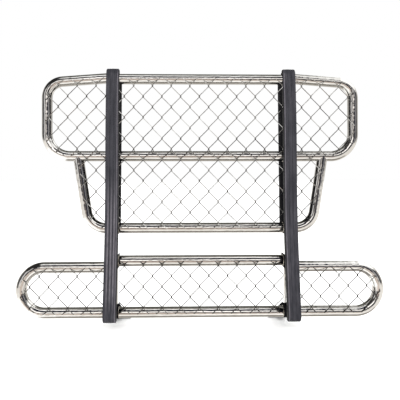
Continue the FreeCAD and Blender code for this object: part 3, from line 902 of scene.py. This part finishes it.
@dataclass(frozen=True)
class TubeFrame:
    """All bars, wings and legs of polished tube, with the beads that weld them on."""

    layout: Layout
    finishes: Finishes
    bead: float = 0.0022
    bead_out: float = 0.3
    ripples: int = 40
    ripple_crest: float = 0.4
    ripple_height: float = 0.16
    unevenness: float = 0.07
    cope_sides: int = 96

    def build(self) -> None:
        """Make every tube."""
        lay = self.layout
        upper, lower = TubeStock(lay.upper_radius), TubeStock(lay.lower_radius)
        for name, stock, y, z in (("top_bar", upper, lay.plane_y, lay.top_bar_z),
                                  ("middle_bar", upper, lay.plane_y, lay.middle_bar_z),
                                  ("bucket_bar", upper, lay.plane_y, lay.bucket_bar_z),
                                  ("lower_top_bar", lower, lay.lower_plane_y, lay.lower_top_bar_z),
                                  ("lower_bottom_bar", lower, lay.lower_plane_y, lay.bottom_bar_z)):
            self.bar(name, stock, y, z)
        self.wing(upper)
        self.leg(upper)
        self.lower_wing(lower)
        self.welds()

    def bar(self, name: str, stock: TubeStock, y: float, z: float) -> None:
        """Make one straight bar between the uprights.

        Args:
            name: CAD node that it stands for.
            stock: The tube.
            y: Depth of its centre line.
            z: Height of its centre line.
        """
        reach = self.layout.inner_x
        piece = stock.run(name + "_tube", [Vector((-reach, y, z)), Vector((reach, y, z))], ())
        stock.give_wall(piece)
        piece.dress(self.finishes.tube, Slot.TUBE, Body.GUARD, name)

    def pair(self, piece: Piece, stem: str) -> None:
        """Dress a right-hand tube and its mirror image.

        Args:
            piece: The right-hand tube.
            stem: Stem of the CAD nodes that the two stand for.
        """
        twin = piece.mirrored(f"{stem}_tube_left")
        twin.smooth()
        piece.dress(self.finishes.tube, Slot.TUBE, Body.GUARD, f"{stem}_right")
        twin.dress(self.finishes.tube, Slot.TUBE, Body.GUARD, f"{stem}_left")

    def wing(self, stock: TubeStock) -> None:
        """Make the rounded ends of the upper loop, cut square against the uprights."""
        lay = self.layout
        corners = lay.wing_corners(lay.outer_x - lay.upper_radius)
        piece = stock.run("upper_wing_tube_right", corners, (lay.upper_corner, lay.middle_corner))
        with piece.editing():
            piece.slice((lay.outer_x, 0, 0), (-1, 0, 0), clear=True)
        stock.give_wall(piece)
        self.pair(piece, "upper_wing")

    def leg(self, stock: TubeStock) -> None:
        """Make the bucket legs, coped onto the middle tubes."""
        lay = self.layout
        piece = stock.run("bucket_leg_tube_right", lay.leg_corners(), (lay.bucket_corner,))
        stock.give_wall(piece)
        start, end = (Vector((x, lay.plane_y, lay.middle_bar_z)) for x in (lay.outer_x, lay.upper_half_width))
        cope = Piece.rod("cope", start, end, lay.upper_radius, self.cope_sides)
        piece.combine(cope, Cut.REMOVE)
        piece.smooth()
        self.pair(piece, "bucket_leg")

    def lower_wing(self, stock: TubeStock) -> None:
        """Make the half-round ends of the lower loop."""
        lay = self.layout
        piece = stock.run("lower_wing_tube_right", lay.lower_wing_corners(), (lay.lower_bend,) * 2)
        stock.give_wall(piece)
        self.pair(piece, "lower_wing")

    def ring(self, centre: Vector, along: Vector, radius: float, seed: int) -> Piece:
        """Lay one weld bead round a tube's end.

        Args:
            centre: Middle of the bead's ring.
            along: The tube's direction.
            radius: The tube's radius.
            seed: Seed of the bead's unevenness.

        Returns:
            The bead, with ripples as the torch leaves them.
        """
        piece = Piece.add(f"bead_{seed}", bpy.ops.mesh.primitive_torus_add, minor_radius=self.bead,
                          major_radius=radius + self.bead * self.bead_out, major_segments=120,
                          minor_segments=10, location=centre,
                          rotation=along.to_track_quat("Z", "Y").to_euler())
        side = along.orthogonal().normalized()
        other = along.cross(side)

        def on_crest(point: Vector) -> bool:
            """Whether a point lies on one of the ripples."""
            out = point - centre
            return math.sin(self.ripples * math.atan2(out.dot(side), out.dot(other))) > self.ripple_crest

        with piece.editing():
            piece.pick(Pick.POINTS, on_crest)
            bpy.ops.transform.shrink_fatten(value=self.bead * self.ripple_height)
            bpy.ops.mesh.select_all(action="SELECT")
            bpy.ops.transform.vertex_random(offset=self.bead * self.unevenness, seed=seed)
        return piece

    def welds(self) -> None:
        """Lay the beads of all tubes of each side."""
        lay = self.layout
        spots = []
        for x, top_z, lower_z in ((lay.inner_x, lay.top_bar_z, lay.lower_top_bar_z),
                                  (lay.outer_x, lay.wing_root_z, lay.lower_wing_top_z)):
            for z in (top_z, lay.middle_bar_z, lay.bucket_bar_z):
                spots.append((Vector((x, lay.plane_y, z)), lay.upper_radius))
            for z in (lower_z, lay.bottom_bar_z):
                spots.append((Vector((x, lay.lower_plane_y, z)), lay.lower_radius))
        across = Vector((1, 0, 0))
        rings = [self.ring(centre, across, radius, seed) for seed, (centre, radius) in enumerate(spots)]
        rings[0].absorb(rings[1:])
        right = rings[0]
        right.obj.name = "tube_weld_beads_right"
        right.smooth(60.0)
        left = right.mirrored("tube_weld_beads_left")
        left.smooth(60.0)
        for piece in (right, left):
            piece.dress(self.finishes.weld, Slot.TUBE, Body.GUARD)


# ---- wire mesh ----------------------------------------------------------------------------------
@dataclass(frozen=True)
class ChainLink:
    """Chain-link cloth of flattened coils that hook into each other at every knot."""

    layout: Layout
    finishes: Finishes
    wire: float = 0.0045
    cell_x: float = 0.1034
    cell_z: float = 0.1165
    knot: tuple[float, float] = (-0.3725, 0.8628)
    depth: float = 0.0024
    hook: float = 0.0030
    spread: float = 0.0036
    lead: float = 0.009
    crimp: float = 0.0011
    clearance: float = 0.0001
    bay_half_depth: float = 0.02
    corner_steps: int = 12

    def turn_points(self) -> list[Vector]:
        """One turn of a coil from its left knot up to the next, around its middle plane.

        Returns:
            Points from just above the left knot to the same place one cell higher.
        """
        half_x, half_z = self.cell_x / 2, self.cell_z / 2
        slope = (half_z - 2 * self.spread) / half_x
        right = [(-self.lead, -1.0, -self.spread - self.lead * slope), (0.0, -0.95, -self.spread),
                 (self.hook * 0.74, -0.5, -self.spread * 0.43), (self.hook, 0.0, 0.0)]
        right += [(x, -y, -z) for x, y, z in reversed(right[:-1])]
        left = [(-x, -y, z) for x, y, z in right]
        third = half_x / 3
        middle = [(third, -1.0, half_z / 3 + self.crimp), (2 * third, -1.0, half_z * 2 / 3 - self.crimp)]
        back = [(2 * third, 1.0, half_z * 4 / 3 + self.crimp), (third, 1.0, half_z * 5 / 3 - self.crimp)]
        points = left[3:] + middle
        points += [(half_x + x, y, half_z + z) for x, y, z in right] + back
        points += [(x, y, self.cell_z + z) for x, y, z in left[:4]]
        return [Vector((x, y * self.depth, z)) for x, y, z in points]

    def coil(self, turns: int) -> Piece:
        """Wind one coil by pulling a point round its turn and stacking the turns.

        Args:
            turns: Number of turns.

        Returns:
            The coil as a round wire, its first knot at the origin.
        """
        points = self.turn_points()
        piece = Piece.add("coil", bpy.ops.mesh.primitive_plane_add, size=0.001, location=points[0])
        with piece.editing():
            bpy.ops.mesh.merge(type="CENTER")
            for before, after in zip(points, points[1:]):
                piece.pull(after - before)
        piece.modify("ARRAY", count=turns, use_relative_offset=False, use_constant_offset=True,
                     constant_offset_displace=(0.0, 0.0, self.cell_z), use_merge_vertices=True,
                     merge_threshold=1e-5)
        piece.activate()
        bpy.ops.object.convert(target="CURVE")
        curve = piece.obj.data
        curve.bevel_depth = self.wire / 2
        curve.bevel_resolution = 1
        curve.use_fill_caps = True
        bpy.ops.object.convert(target="MESH")
        piece.outward()
        return piece

    def cloth(self, low: Vector, high: Vector) -> Piece:
        """Weave enough cloth to cover a bay.

        Args:
            low: Lowest corner of the bay.
            high: Highest corner of the bay.

        Returns:
            The cloth, its knots where the whole guard's lattice has them.
        """
        knot_x, knot_z = self.knot
        first_x = knot_x + math.floor((low.x - knot_x) / self.cell_x - 1) * self.cell_x
        first_z = knot_z + math.floor((low.z - knot_z) / self.cell_z - 1) * self.cell_z
        turns = math.ceil((high.z - first_z) / self.cell_z) + 1
        columns = math.ceil((high.x - first_x) / self.cell_x) + 1
        cloth = self.coil(turns)
        second = Piece.copy_of("coil", cloth.obj)
        with second.editing():
            bpy.ops.transform.translate(value=(self.cell_x / 2, 0.0, self.cell_z / 2))
        cloth.absorb([second])
        with cloth.editing():
            bpy.ops.transform.translate(value=(first_x, (low.y + high.y) / 2, first_z))
        cloth.modify("ARRAY", count=columns, use_relative_offset=False, use_constant_offset=True,
                     constant_offset_displace=(self.cell_x, 0.0, 0.0))
        return cloth

    def trimmed(self, name: str, bay: Piece) -> Piece:
        """Cut cloth to a bay.

        Args:
            name: The panel's name.
            bay: Block in the bay's outline, which is used up.

        Returns:
            The panel.
        """
        corners = [Vector(corner) for corner in bay.obj.bound_box]
        low = Vector([min(c[i] for c in corners) for i in range(3)])
        high = Vector([max(c[i] for c in corners) for i in range(3)])
        cloth = self.cloth(low, high)
        cloth.combine(bay, Cut.KEEP_INSIDE, closed=True)
        cloth.obj.name = name
        cloth.smooth(50.0)
        return cloth

    def panel(self, name: str, bay: Piece) -> None:
        """Make and dress one panel that stands for the CAD node of the same bay."""
        self.trimmed(name + "_cloth", bay).dress(self.finishes.wire, Slot.WIRE, Body.GUARD, name)

    def block(self, corners: Sequence[tuple[float, float]]) -> Piece:
        """Raise a thick block on four corners of a bay.

        Args:
            corners: (x, z) of the lower left, lower right, upper right and upper left corner.

        Returns:
            The block, thick enough to hold the cloth.
        """
        middle = self.layout.front_y - self.clearance - self.depth - self.wire / 2
        low, high = middle - self.bay_half_depth, middle + self.bay_half_depth
        piece = Piece.block("bay", (0.0, low, 0.0), (1.0, high, 1.0))
        aside = 10.0                    # moved corners wait here, out of the next pick's way
        with piece.editing():
            for (x, z), (to_x, to_z) in zip(((0, 0), (1, 0), (1, 1), (0, 1)), corners):
                piece.pick(Pick.POINTS, lambda p, x=x, z=z: abs(p.x - x) < NEAR and abs(p.z - z) < NEAR)
                bpy.ops.transform.translate(value=(to_x - x + aside, 0.0, to_z - z))
            bpy.ops.mesh.select_all(action="SELECT")
            bpy.ops.transform.translate(value=(-aside, 0.0, 0.0))
        return piece

    def round_corner(self, piece: Piece, corner: tuple[float, float], reach: float) -> None:
        """Round one upright corner of a bay's block.

        Args:
            piece: The block.
            corner: (x, z) of the corner.
            reach: Distance from the corner to where the rounding starts.
        """
        with piece.editing():
            piece.pick(Pick.EDGES, lambda a, b: all((p.xz - Vector(corner)).length < NEAR for p in (a, b)))
            bpy.ops.mesh.bevel(offset=reach, offset_type="OFFSET", segments=self.corner_steps, affect="EDGES")

    def upper_side(self) -> Piece:
        """Bay of the right upper wing and the bucket's side below it."""
        lay = self.layout
        start = lay.upright_x + lay.trim_half_width
        wing = lay.wing_corners(start)
        points = [(start, lay.middle_bar_z), tuple(wing[2].xz), tuple(wing[1].xz), (start, wing[0].z)]
        bay = self.block(points)
        self.round_corner(bay, points[1], lay.middle_corner)
        self.round_corner(bay, points[2], lay.upper_corner * math.tan((math.pi / 2 - lay.wing_droop) / 2))
        leg = lay.leg_corners()
        overlap = 0.05
        over_x, over_z = leg[0].x + overlap * math.tan(lay.leg_lean), leg[0].z + overlap
        points = [(start, leg[1].z), tuple(leg[1].xz), (over_x, over_z), (start, over_z)]
        bucket = self.block(points)
        self.round_corner(bucket, points[1], lay.bucket_corner * math.tan((math.pi / 2 - lay.leg_lean) / 2))
        bay.combine(bucket, Cut.JOIN)
        return bay

    def lower_side(self) -> Piece:
        """Bay of the right lower wing."""
        lay = self.layout
        start = lay.upright_x + lay.trim_half_width
        end = lay.lower_wing_corners()[1].x
        points = [(start, lay.bottom_bar_z), (end, lay.bottom_bar_z), (end, lay.lower_wing_top_z),
                  (start, lay.lower_wing_top_z)]
        bay = self.block(points)
        for corner in points[1:3]:
            self.round_corner(bay, corner, lay.lower_bend)
        return bay

    def centre(self, low_z: float, high_z: float) -> Piece:
        """Bay between the uprights, between two heights."""
        reach = self.layout.upright_x - self.layout.trim_half_width
        return self.block([(-reach, low_z), (reach, low_z), (reach, high_z), (-reach, high_z)])

    def build(self) -> None:
        """Make all six panels."""
        lay = self.layout
        self.panel("mesh_upper_centre", self.centre(lay.bucket_bar_z, lay.top_bar_z))
        self.panel("mesh_lower_centre", self.centre(lay.bottom_bar_z, lay.lower_top_bar_z))
        for stem, bay in (("mesh_upper", self.upper_side()), ("mesh_lower", self.lower_side())):
            other = bay.mirrored("bay_left")
            self.panel(f"{stem}_right", bay)
            self.panel(f"{stem}_left", other)


# ---- uprights -----------------------------------------------------------------------------------
@dataclass(frozen=True)
class RubberTrim:
    """Moulded rubber channel over each upright's face, beaded and grooved along its length.

    Its section is given by distances from its centre line.  The notches' cutters go a little past
    the lips, so that no two faces lie in one plane.
    """

    layout: Layout
    finishes: Finishes
    half_width: float = 0.035
    thickness: float = 0.014
    lip: float = 0.0045
    lip_depth: float = 0.040
    end_radius: float = 0.042
    bottom_z: float = 0.0515
    top_z: float = 1.4305
    stations: int = 46
    corner: float = 0.013
    arris: float = 0.0045
    end_turn: float = math.radians(86.0)
    notch_gap: float = 0.0005
    notch_reach: float = 0.012
    notch_past: float = 0.0004
    cuts: tuple[float, ...] = (0.0085, 0.0105, 0.0125, 0.0235, 0.0255, 0.0275, 0.0305)
    grooves: tuple[Span, ...] = ((0.0105, 0.0014), (0.0275, 0.0008), (0.0235, 0.0008))

    def face_y(self, node: str, z: float) -> float:
        """Depth of the CAD trim's face at a height.

        Args:
            node: The CAD trim.
            z: Height.

        Returns:
            Its Y, found by looking at it from in front.
        """
        source = bpy.data.objects[node]
        hit, point, _, _ = source.ray_cast(Vector((self.layout.upright_x, -2.0, z)), Vector((0, 1, 0)))
        return point.y if hit else self.layout.front_y

    def section(self, z: float, y: float) -> Piece:
        """Cut the channel's section flat at one height.

        Args:
            z: Height of the section.
            y: Depth of its face.

        Returns:
            A flat face in the shape of the section, seen from above.
        """
        centre = self.layout.upright_x
        middle = (centre, y + self.thickness / 2, z)
        piece = Piece.add("rubber_trim_right", bpy.ops.mesh.primitive_plane_add, size=1.0, location=middle)
        front, back = y + NEAR, y + self.thickness - NEAR
        with piece.editing():
            bpy.ops.transform.resize(value=(2 * self.half_width, self.thickness, 1.0), center_override=middle)
            for cut in (*(-cut for cut in reversed(self.cuts)), *self.cuts):
                piece.slice((centre + cut, 0, 0), (1, 0, 0))
            for groove, depth in self.grooves:
                piece.pick(Pick.POINTS, lambda p: p.y < front and abs(abs(p.x - centre) - groove) < NEAR)
                bpy.ops.transform.translate(value=(0.0, depth, 0.0))
            piece.pick(Pick.EDGES, lambda a, b: min(a.y, b.y) > back
                       and abs((a.x + b.x) / 2 - centre) > self.half_width - self.lip)
            piece.pull(Vector((0.0, self.lip_depth - self.thickness, 0.0)))
            piece.pick(Pick.POINTS, lambda p: p.y < front and abs(abs(p.x - centre) - self.half_width) < NEAR)
            bpy.ops.mesh.bevel(offset=self.arris, segments=5, affect="VERTICES")
        return piece

    def sweep(self) -> Piece:
        """Draw the section down the upright's face and round both its ends.

        Returns:
            The right-hand trim before its notches are cut.
        """
        low, high = self.bottom_z + self.end_radius, self.top_z - self.end_radius
        heights = [low + (high - low) * i / (self.stations - 1) for i in range(self.stations)]
        depths = [self.face_y("upright_trim_right", z) for z in heights]
        piece = self.section(heights[0], depths[0])
        with piece.editing(Pick.FACES):
            for i in range(1, len(heights)):
                piece.pull(Vector((0.0, depths[i] - depths[i - 1], heights[i] - heights[i - 1])))
            self.round_end(depths[-1], heights[-1], 1)
            piece.pick(Pick.FACES, lambda middle, normal: abs(normal.z) > 0.9
                       and abs(middle.z - heights[0]) < NEAR)
            self.round_end(depths[0], heights[0], -1)
        return piece

    def round_end(self, y: float, z: float, way: int) -> None:
        """In edit mode, spin the selected end face back towards the truck.

        Args:
            y: Depth of the trim's face there.
            z: Height of the end face.
            way: 1 at the top and -1 at the bottom.
        """
        centre = (self.layout.upright_x, y + self.end_radius, z)
        bpy.ops.mesh.spin(steps=10, angle=way * self.end_turn, center=centre, axis=(1.0, 0.0, 0.0))

    def notch(self, piece: Piece) -> None:
        """Cut the lips where bars and wings pass through them.

        Args:
            piece: The right-hand trim.
        """
        lay = self.layout
        inner = (lay.inner_x - self.notch_reach, lay.inner_x + self.notch_past)
        outer = (lay.outer_x - self.notch_past, lay.outer_x + self.notch_reach)
        for ends, z in ((inner, lay.top_bar_z), (inner, lay.middle_bar_z),
                        (outer, lay.wing_root_z), (outer, lay.middle_bar_z)):
            start, end = (Vector((x, lay.plane_y, z)) for x in ends)
            cutter = Piece.rod("notch", start, end, lay.upper_radius + self.notch_gap, 64)
            piece.combine(cutter, Cut.REMOVE)

    def round_corners(self, piece: Piece) -> None:
        """Round the trim's four corners as seen from in front.

        Args:
            piece: The right-hand trim.
        """
        centre, spare = self.layout.upright_x, 0.0002
        low = Vector((centre - self.half_width - spare, -0.5, self.bottom_z))
        high = Vector((centre + self.half_width + spare, 0.1, self.top_z))
        frame = Piece.block("frame", low, high)
        with frame.editing():
            frame.pick(Pick.EDGES, lambda a, b: abs(a.y - b.y) > 0.1)
            bpy.ops.mesh.bevel(offset=self.corner, segments=6, affect="EDGES")
        piece.combine(frame, Cut.KEEP_INSIDE)

    def build(self) -> None:
        """Make both trims."""
        right = self.sweep()
        right.outward()
        self.round_corners(right)
        self.notch(right)
        right.smooth(32.0)
        left = right.mirrored("rubber_trim_left")
        left.smooth(32.0)
        right.dress(self.finishes.rubber, Slot.RUBBER, Body.GUARD, "upright_trim_right")
        left.dress(self.finishes.rubber, Slot.RUBBER, Body.GUARD, "upright_trim_left")


@dataclass(frozen=True)
class EasedPart:
    """A CAD part of plate or bar whose sawn edges are eased as on the real one."""

    node: str
    finish: Material
    slot: Slot
    body: Body
    ease: float = 0.0008
    steps: int = 2
    flat: float = math.radians(0.4)
    sharp: float = math.radians(40.0)

    def build(self) -> None:
        """Copy the node, merge it, ease its edges and dress it."""
        piece = Piece.copy_of(self.node + "_part", bpy.data.objects[self.node])
        with piece.editing():
            bpy.ops.mesh.customdata_custom_splitnormals_clear()
            bpy.ops.mesh.remove_doubles(threshold=1e-5)
            bpy.ops.mesh.dissolve_limited(angle_limit=self.flat)
        piece.modify("BEVEL", width=self.ease, segments=self.steps, limit_method="ANGLE",
                     angle_limit=self.sharp)
        piece.smooth(30.0)
        piece.dress(self.finish, self.slot, self.body, self.node)


@dataclass(frozen=True)
class Uprights:
    """Steel plates, webs, posts and screws of both uprights, under their rubber."""

    layout: Layout
    finishes: Finishes

    def build(self) -> None:
        """Make both uprights."""
        RubberTrim(self.layout, self.finishes).build()
        parts = (("side_plate_inner", self.finishes.plate, Slot.PLATE, 0.0008),
                 ("side_plate_outer", self.finishes.plate, Slot.PLATE, 0.0008),
                 ("upright_web", self.finishes.plate, Slot.PLATE, 0.0008),
                 ("lower_post", self.finishes.tube, Slot.TUBE, 0.0003),
                 ("trim_screws", self.finishes.zinc, Slot.FASTENER, 0.0006))
        for side in Side:
            for stem, finish, slot, ease in parts:
                EasedPart(f"{stem}_{side.label}", finish, slot, Body.GUARD, ease).build()


@dataclass(frozen=True)
class Brackets:
    """Arms, plates, pins and bolts that carry the guard and let it fold."""

    finishes: Finishes

    def build(self) -> None:
        """Make both brackets and their fasteners."""
        steel = ("mount_arm_inner", "mount_arm_outer", "mount_plate", "mount_gusset", "pivot_sleeve")
        bolts = ("pivot_bolt", "clamp_bolt", "pivot_nut", "clamp_nut", "pivot_washers", "clamp_washers")
        kinds = ((steel, self.finishes.bracket, Slot.BRACKET, Body.BRACKETS, 0.001),
                 (("pivot_bush",), self.finishes.bronze, Slot.BUSH, Body.BRACKETS, 0.0003),
                 (("stop_pin",), self.finishes.zinc, Slot.FASTENER, Body.BRACKETS, 0.0006),
                 (bolts, self.finishes.zinc, Slot.FASTENER, Body.GUARD, 0.0005))
        for side in Side:
            for stems, finish, slot, body, ease in kinds:
                for stem in stems:
                    EasedPart(f"{stem}_{side.label}", finish, slot, body, ease).build()


# ---- studio -------------------------------------------------------------------------------------
@dataclass(frozen=True)
class Surroundings:
    """Light and colour of what stands round the guard, by direction.

    A direction is a unit vector.  Pitch and bearing are degrees up and to the right from straight
    ahead of the guard.  A span says where a patch starts and where it is full.
    """

    soft_light: Colour = (1.40, 1.40, 1.40)
    warp_scale: float = 9.0
    warp: float = 0.42
    by_pitch: Stops = (
        (-180.0, (0.90, 0.88, 0.85)), (-150.0, (0.80, 0.78, 0.74)), (-120.0, (0.55, 0.52, 0.47)),
        (-90.0, (0.30, 0.28, 0.25)), (-70.0, (0.42, 0.39, 0.35)), (-58.0, (1.40, 1.37, 1.32)),
        (-40.0, (1.45, 1.42, 1.37)), (-34.0, (0.50, 0.45, 0.40)), (-22.0, (0.84, 0.74, 0.66)),
        (-10.0, (0.80, 0.66, 0.58)), (-5.0, (0.20, 0.17, 0.16)), (4.0, (0.05, 0.05, 0.05)),
        (8.0, (1.00, 0.90, 0.84)), (14.0, (1.90, 1.88, 1.85)), (22.0, (1.80, 1.76, 1.72)),
        (27.0, (0.60, 0.56, 0.54)), (30.0, (0.03, 0.03, 0.045)), (60.0, (0.03, 0.03, 0.045)),
        (64.0, (1.90, 1.90, 1.88)), (73.0, (1.60, 1.60, 1.58)), (80.0, (0.60, 0.60, 0.58)),
        (87.0, (0.20, 0.20, 0.18)), (105.0, (0.11, 0.11, 0.10)), (150.0, (0.16, 0.16, 0.14)),
        (171.0, (0.26, 0.25, 0.23)), (180.0, (0.85, 0.83, 0.80)))
    by_bearing: Stops = (
        (-180.0, (0.66, 0.64, 0.60)), (-125.0, (0.66, 0.64, 0.60)), (-108.0, (0.30, 0.29, 0.28)),
        (-92.0, (0.12, 0.12, 0.12)), (-62.0, (0.04, 0.04, 0.05)), (-52.0, (1.10, 1.08, 1.06)),
        (-42.0, (0.80, 0.78, 0.76)), (-34.0, (0.03, 0.03, 0.04)), (-14.0, (0.05, 0.05, 0.06)),
        (-8.0, (0.50, 0.48, 0.46)), (0.0, (0.16, 0.15, 0.14)), (34.0, (0.03, 0.03, 0.05)),
        (42.0, (0.75, 0.73, 0.72)), (50.0, (0.06, 0.06, 0.07)), (76.0, (0.08, 0.08, 0.09)),
        (90.0, (0.40, 0.38, 0.36)), (112.0, (0.66, 0.64, 0.60)), (180.0, (0.66, 0.64, 0.60)))
    side_from: Span = (0.26, 0.42)
    side_until_level: Span = (0.75, 0.60)
    ground: Colour = (1.05, 1.01, 0.95)
    ground_below: Span = (-0.07, -0.15)
    flank: Colour = (1.15, 1.12, 1.08)
    flank_from: Span = (0.14, 0.20)
    flank_until: Span = (0.34, 0.28)
    flank_pitch: tuple[float, float, float] = (1.0, 26.0, 3.0)
    doorway: Colour = (0.050, 0.052, 0.065)
    doorway_bearing: tuple[float, float, float] = (5.0, 28.0, 3.0)
    doorway_pitch: tuple[float, float, float] = (-13.0, 9.0, 2.0)
    beam_above: Span = (0.38, 0.48)
    beam_below: Span = (-0.30, -0.42)
    beam_from: Span = (0.28, 0.40)
    bright_beam: Colour = (1.60, 1.60, 1.57)
    bright_skew: Span = (0.02, 0.07)
    dark_beam: Colour = (0.03, 0.03, 0.03)
    dark_skew: Span = (-0.02, -0.07)
    dark_above: Span = (-0.02, 0.10)


class Room(NodeBench):
    """What the polished steel reflects, drawn by direction; the view and the soft light are white."""

    def __init__(self, look: Surroundings) -> None:
        """Start the room with its directions.

        Args:
            look: What stands where.
        """
        world = bpy.data.worlds.new("studio_room")
        bpy.context.scene.world = world
        world.use_nodes = True
        super().__init__(world.node_tree)
        self.look = look
        self.nodes.clear()
        way = self.put("TexCoord").outputs["Generated"]
        warp = self.put("TexNoise", Vector=way, Scale=look.warp_scale, Detail=3.0)
        sway = self.calc(Sum.TIMES, self.calc(Sum.MINUS, warp.outputs[0], 0.5), look.warp)
        split = self.put("SeparateXYZ", Vector=way)
        self.x = self.calc(Sum.PLUS, split.outputs["X"], sway)
        self.z = self.calc(Sum.PLUS, split.outputs["Z"], sway)
        self.ahead = self.calc(Sum.TIMES, split.outputs["Y"], -1.0)

    def turn(self, side: Socket) -> Socket:
        """Angle from straight ahead towards a side, in degrees from -180 to 180."""
        return self.calc(Sum.TIMES, self.calc(Sum.ANGLE, side, self.ahead), math.degrees(1.0))

    def ramp(self, angle: Socket, stops: Stops) -> Socket:
        """Colours by angle.

        Args:
            angle: Degrees from -180 to 180.
            stops: Angles and the colours there.

        Returns:
            The colour.
        """
        node = self.put("ValToRGB", Fac=self.span(angle, -180.0, 180.0))
        elements = node.color_ramp.elements
        while len(elements) > 1:
            elements.remove(elements[-1])
        for index, (at, colour) in enumerate(stops):
            place = (at + 180.0) / 360.0
            element = elements[0] if index == 0 else elements.new(place)
            element.position = place
            element.color = (*colour, 1.0)
        return node.outputs[0]

    def window(self, value: Socket, low: float, high: float, soft: float) -> Socket:
        """One between two values and nothing outside them, with soft edges."""
        return self.both(self.span(value, low - soft, low + soft),
                         self.span(value, high - soft, high + soft, 1.0, 0.0))

    def both(self, *shares: Socket) -> Socket:
        """The product of several shares."""
        product = shares[0]
        for share in shares[1:]:
            product = self.calc(Sum.TIMES, product, share)
        return product

    def build(self) -> None:
        """Join the parts of the room."""
        look = self.look
        pitch, bearing = self.turn(self.z), self.turn(self.x)
        off_side, off_level = self.calc(Sum.SIZE, self.x), self.calc(Sum.SIZE, self.z)
        skew = self.calc(Sum.TIMES, self.x, self.z)
        wide = self.ramp(bearing, look.by_bearing)
        wide = self.blend(self.span(self.z, *look.ground_below), wide, look.ground)
        beyond = self.both(self.span(off_side, *look.side_from), self.span(off_level, *look.side_until_level))
        room = self.blend(beyond, self.ramp(pitch, look.by_pitch), wide)
        flank = self.both(self.span(off_side, *look.flank_from), self.span(off_side, *look.flank_until),
                          self.window(pitch, *look.flank_pitch))
        room = self.blend(flank, room, look.flank)
        doorway = self.both(self.window(bearing, *look.doorway_bearing),
                            self.window(pitch, *look.doorway_pitch))
        room = self.blend(doorway, room, look.doorway)
        steep = self.calc(Sum.LARGER, self.span(self.z, *look.beam_above),
                          self.span(self.z, *look.beam_below))
        steep = self.both(steep, self.span(off_side, *look.beam_from))
        room = self.blend(self.both(steep, self.span(skew, *look.bright_skew)), room, look.bright_beam)
        shaded = self.both(steep, self.span(self.z, *look.dark_above), self.span(skew, *look.dark_skew))
        room = self.blend(shaded, room, look.dark_beam)
        path = self.put("LightPath")
        room = self.blend(path.outputs["Is Diffuse Ray"], room, look.soft_light)
        room = self.blend(path.outputs["Is Camera Ray"], room, (1.0, 1.0, 1.0))
        shade = self.put("Background", Color=room)
        self.put("OutputWorld", Surface=shade.outputs[0])


@dataclass(frozen=True)
class SoftBox:
    """One soft light, kept out of the steel's reflections."""

    name: str
    at: tuple[float, float, float]
    towards: tuple[float, float, float]
    size: Span
    power: float
    colour: Colour = (1.0, 1.0, 1.0)

    def hang(self) -> None:
        """Hang the light, facing what it lights."""
        data = bpy.data.lights.new(self.name, "AREA")
        data.shape = "RECTANGLE"
        data.size, data.size_y = self.size
        data.energy = self.power
        data.color = self.colour
        light = bpy.data.objects.new(self.name, data)
        light.location = self.at
        light.rotation_euler = (Vector(self.towards) - Vector(self.at)).to_track_quat("-Z", "Y").to_euler()
        light.visible_glossy = False
        bpy.context.scene.collection.objects.link(light)


@dataclass(frozen=True)
class Studio:
    """Pale floor, soft lights, surroundings and camera."""

    finishes: Finishes
    floor_radius: float = 60.0
    floor_gap: float = 0.001
    boxes: tuple[SoftBox, ...] = (
        SoftBox("overhead_light", (0.0, -0.6, 4.6), (0.0, -0.5, 0.0), (5.0, 4.0), 60.0),
        SoftBox("key_light", (2.6, -2.6, 3.0), (0.0, -0.2, 0.7), (1.4, 1.4), 40.0),
        SoftBox("left_fill_light", (-3.4, -2.0, 0.9), (0.0, -0.2, 0.7), (1.2, 1.8), 15.0, (1.0, 0.97, 0.93)))
    camera_at: tuple[float, float, float] = (-0.1026, -2.888, 0.8382)
    camera_turn: tuple[float, float, float] = (math.pi / 2 + 0.0049, 0.0008, -0.0233)
    lens: float = 42.52
    shift: Span = (0.0156, -0.0691)

    def build(self) -> None:
        """Set up everything around the guard."""
        self.floor()
        Room(Surroundings()).build()
        for box in self.boxes:
            box.hang()
        self.camera()
        bpy.context.scene.view_settings.view_transform = "Standard"

    def floor(self) -> None:
        """Lay the floor under the guard's lowest point, out of the steel's reflections."""
        low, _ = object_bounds()
        piece = Piece.add("studio_floor", bpy.ops.mesh.primitive_circle_add, vertices=64,
                          radius=self.floor_radius, fill_type="NGON",
                          location=(0.0, 0.0, low.z - self.floor_gap))
        piece.obj.data.materials.append(self.finishes.floor)
        piece.obj.visible_glossy = False
        piece.obj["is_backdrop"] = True

    def camera(self) -> None:
        """Place the camera."""
        data = bpy.data.cameras.new("camera")
        data.lens = self.lens
        data.shift_x, data.shift_y = self.shift
        camera = bpy.data.objects.new("camera", data)
        camera.location = self.camera_at
        camera.rotation_euler = self.camera_turn
        bpy.context.scene.collection.objects.link(camera)
        bpy.context.scene.camera = camera


def main() -> None:
    """Load the frame and build every sub-assembly in order."""
    logging.basicConfig(level=logging.INFO, format="%(name)s: %(message)s")
    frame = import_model()
    layout, finishes = Layout(), Finishes()
    TubeFrame(layout, finishes).build()
    ChainLink(layout, finishes).build()
    Uprights(layout, finishes).build()
    Brackets(finishes).build()
    Studio(finishes).build()


if __name__ == "__main__":
    main()
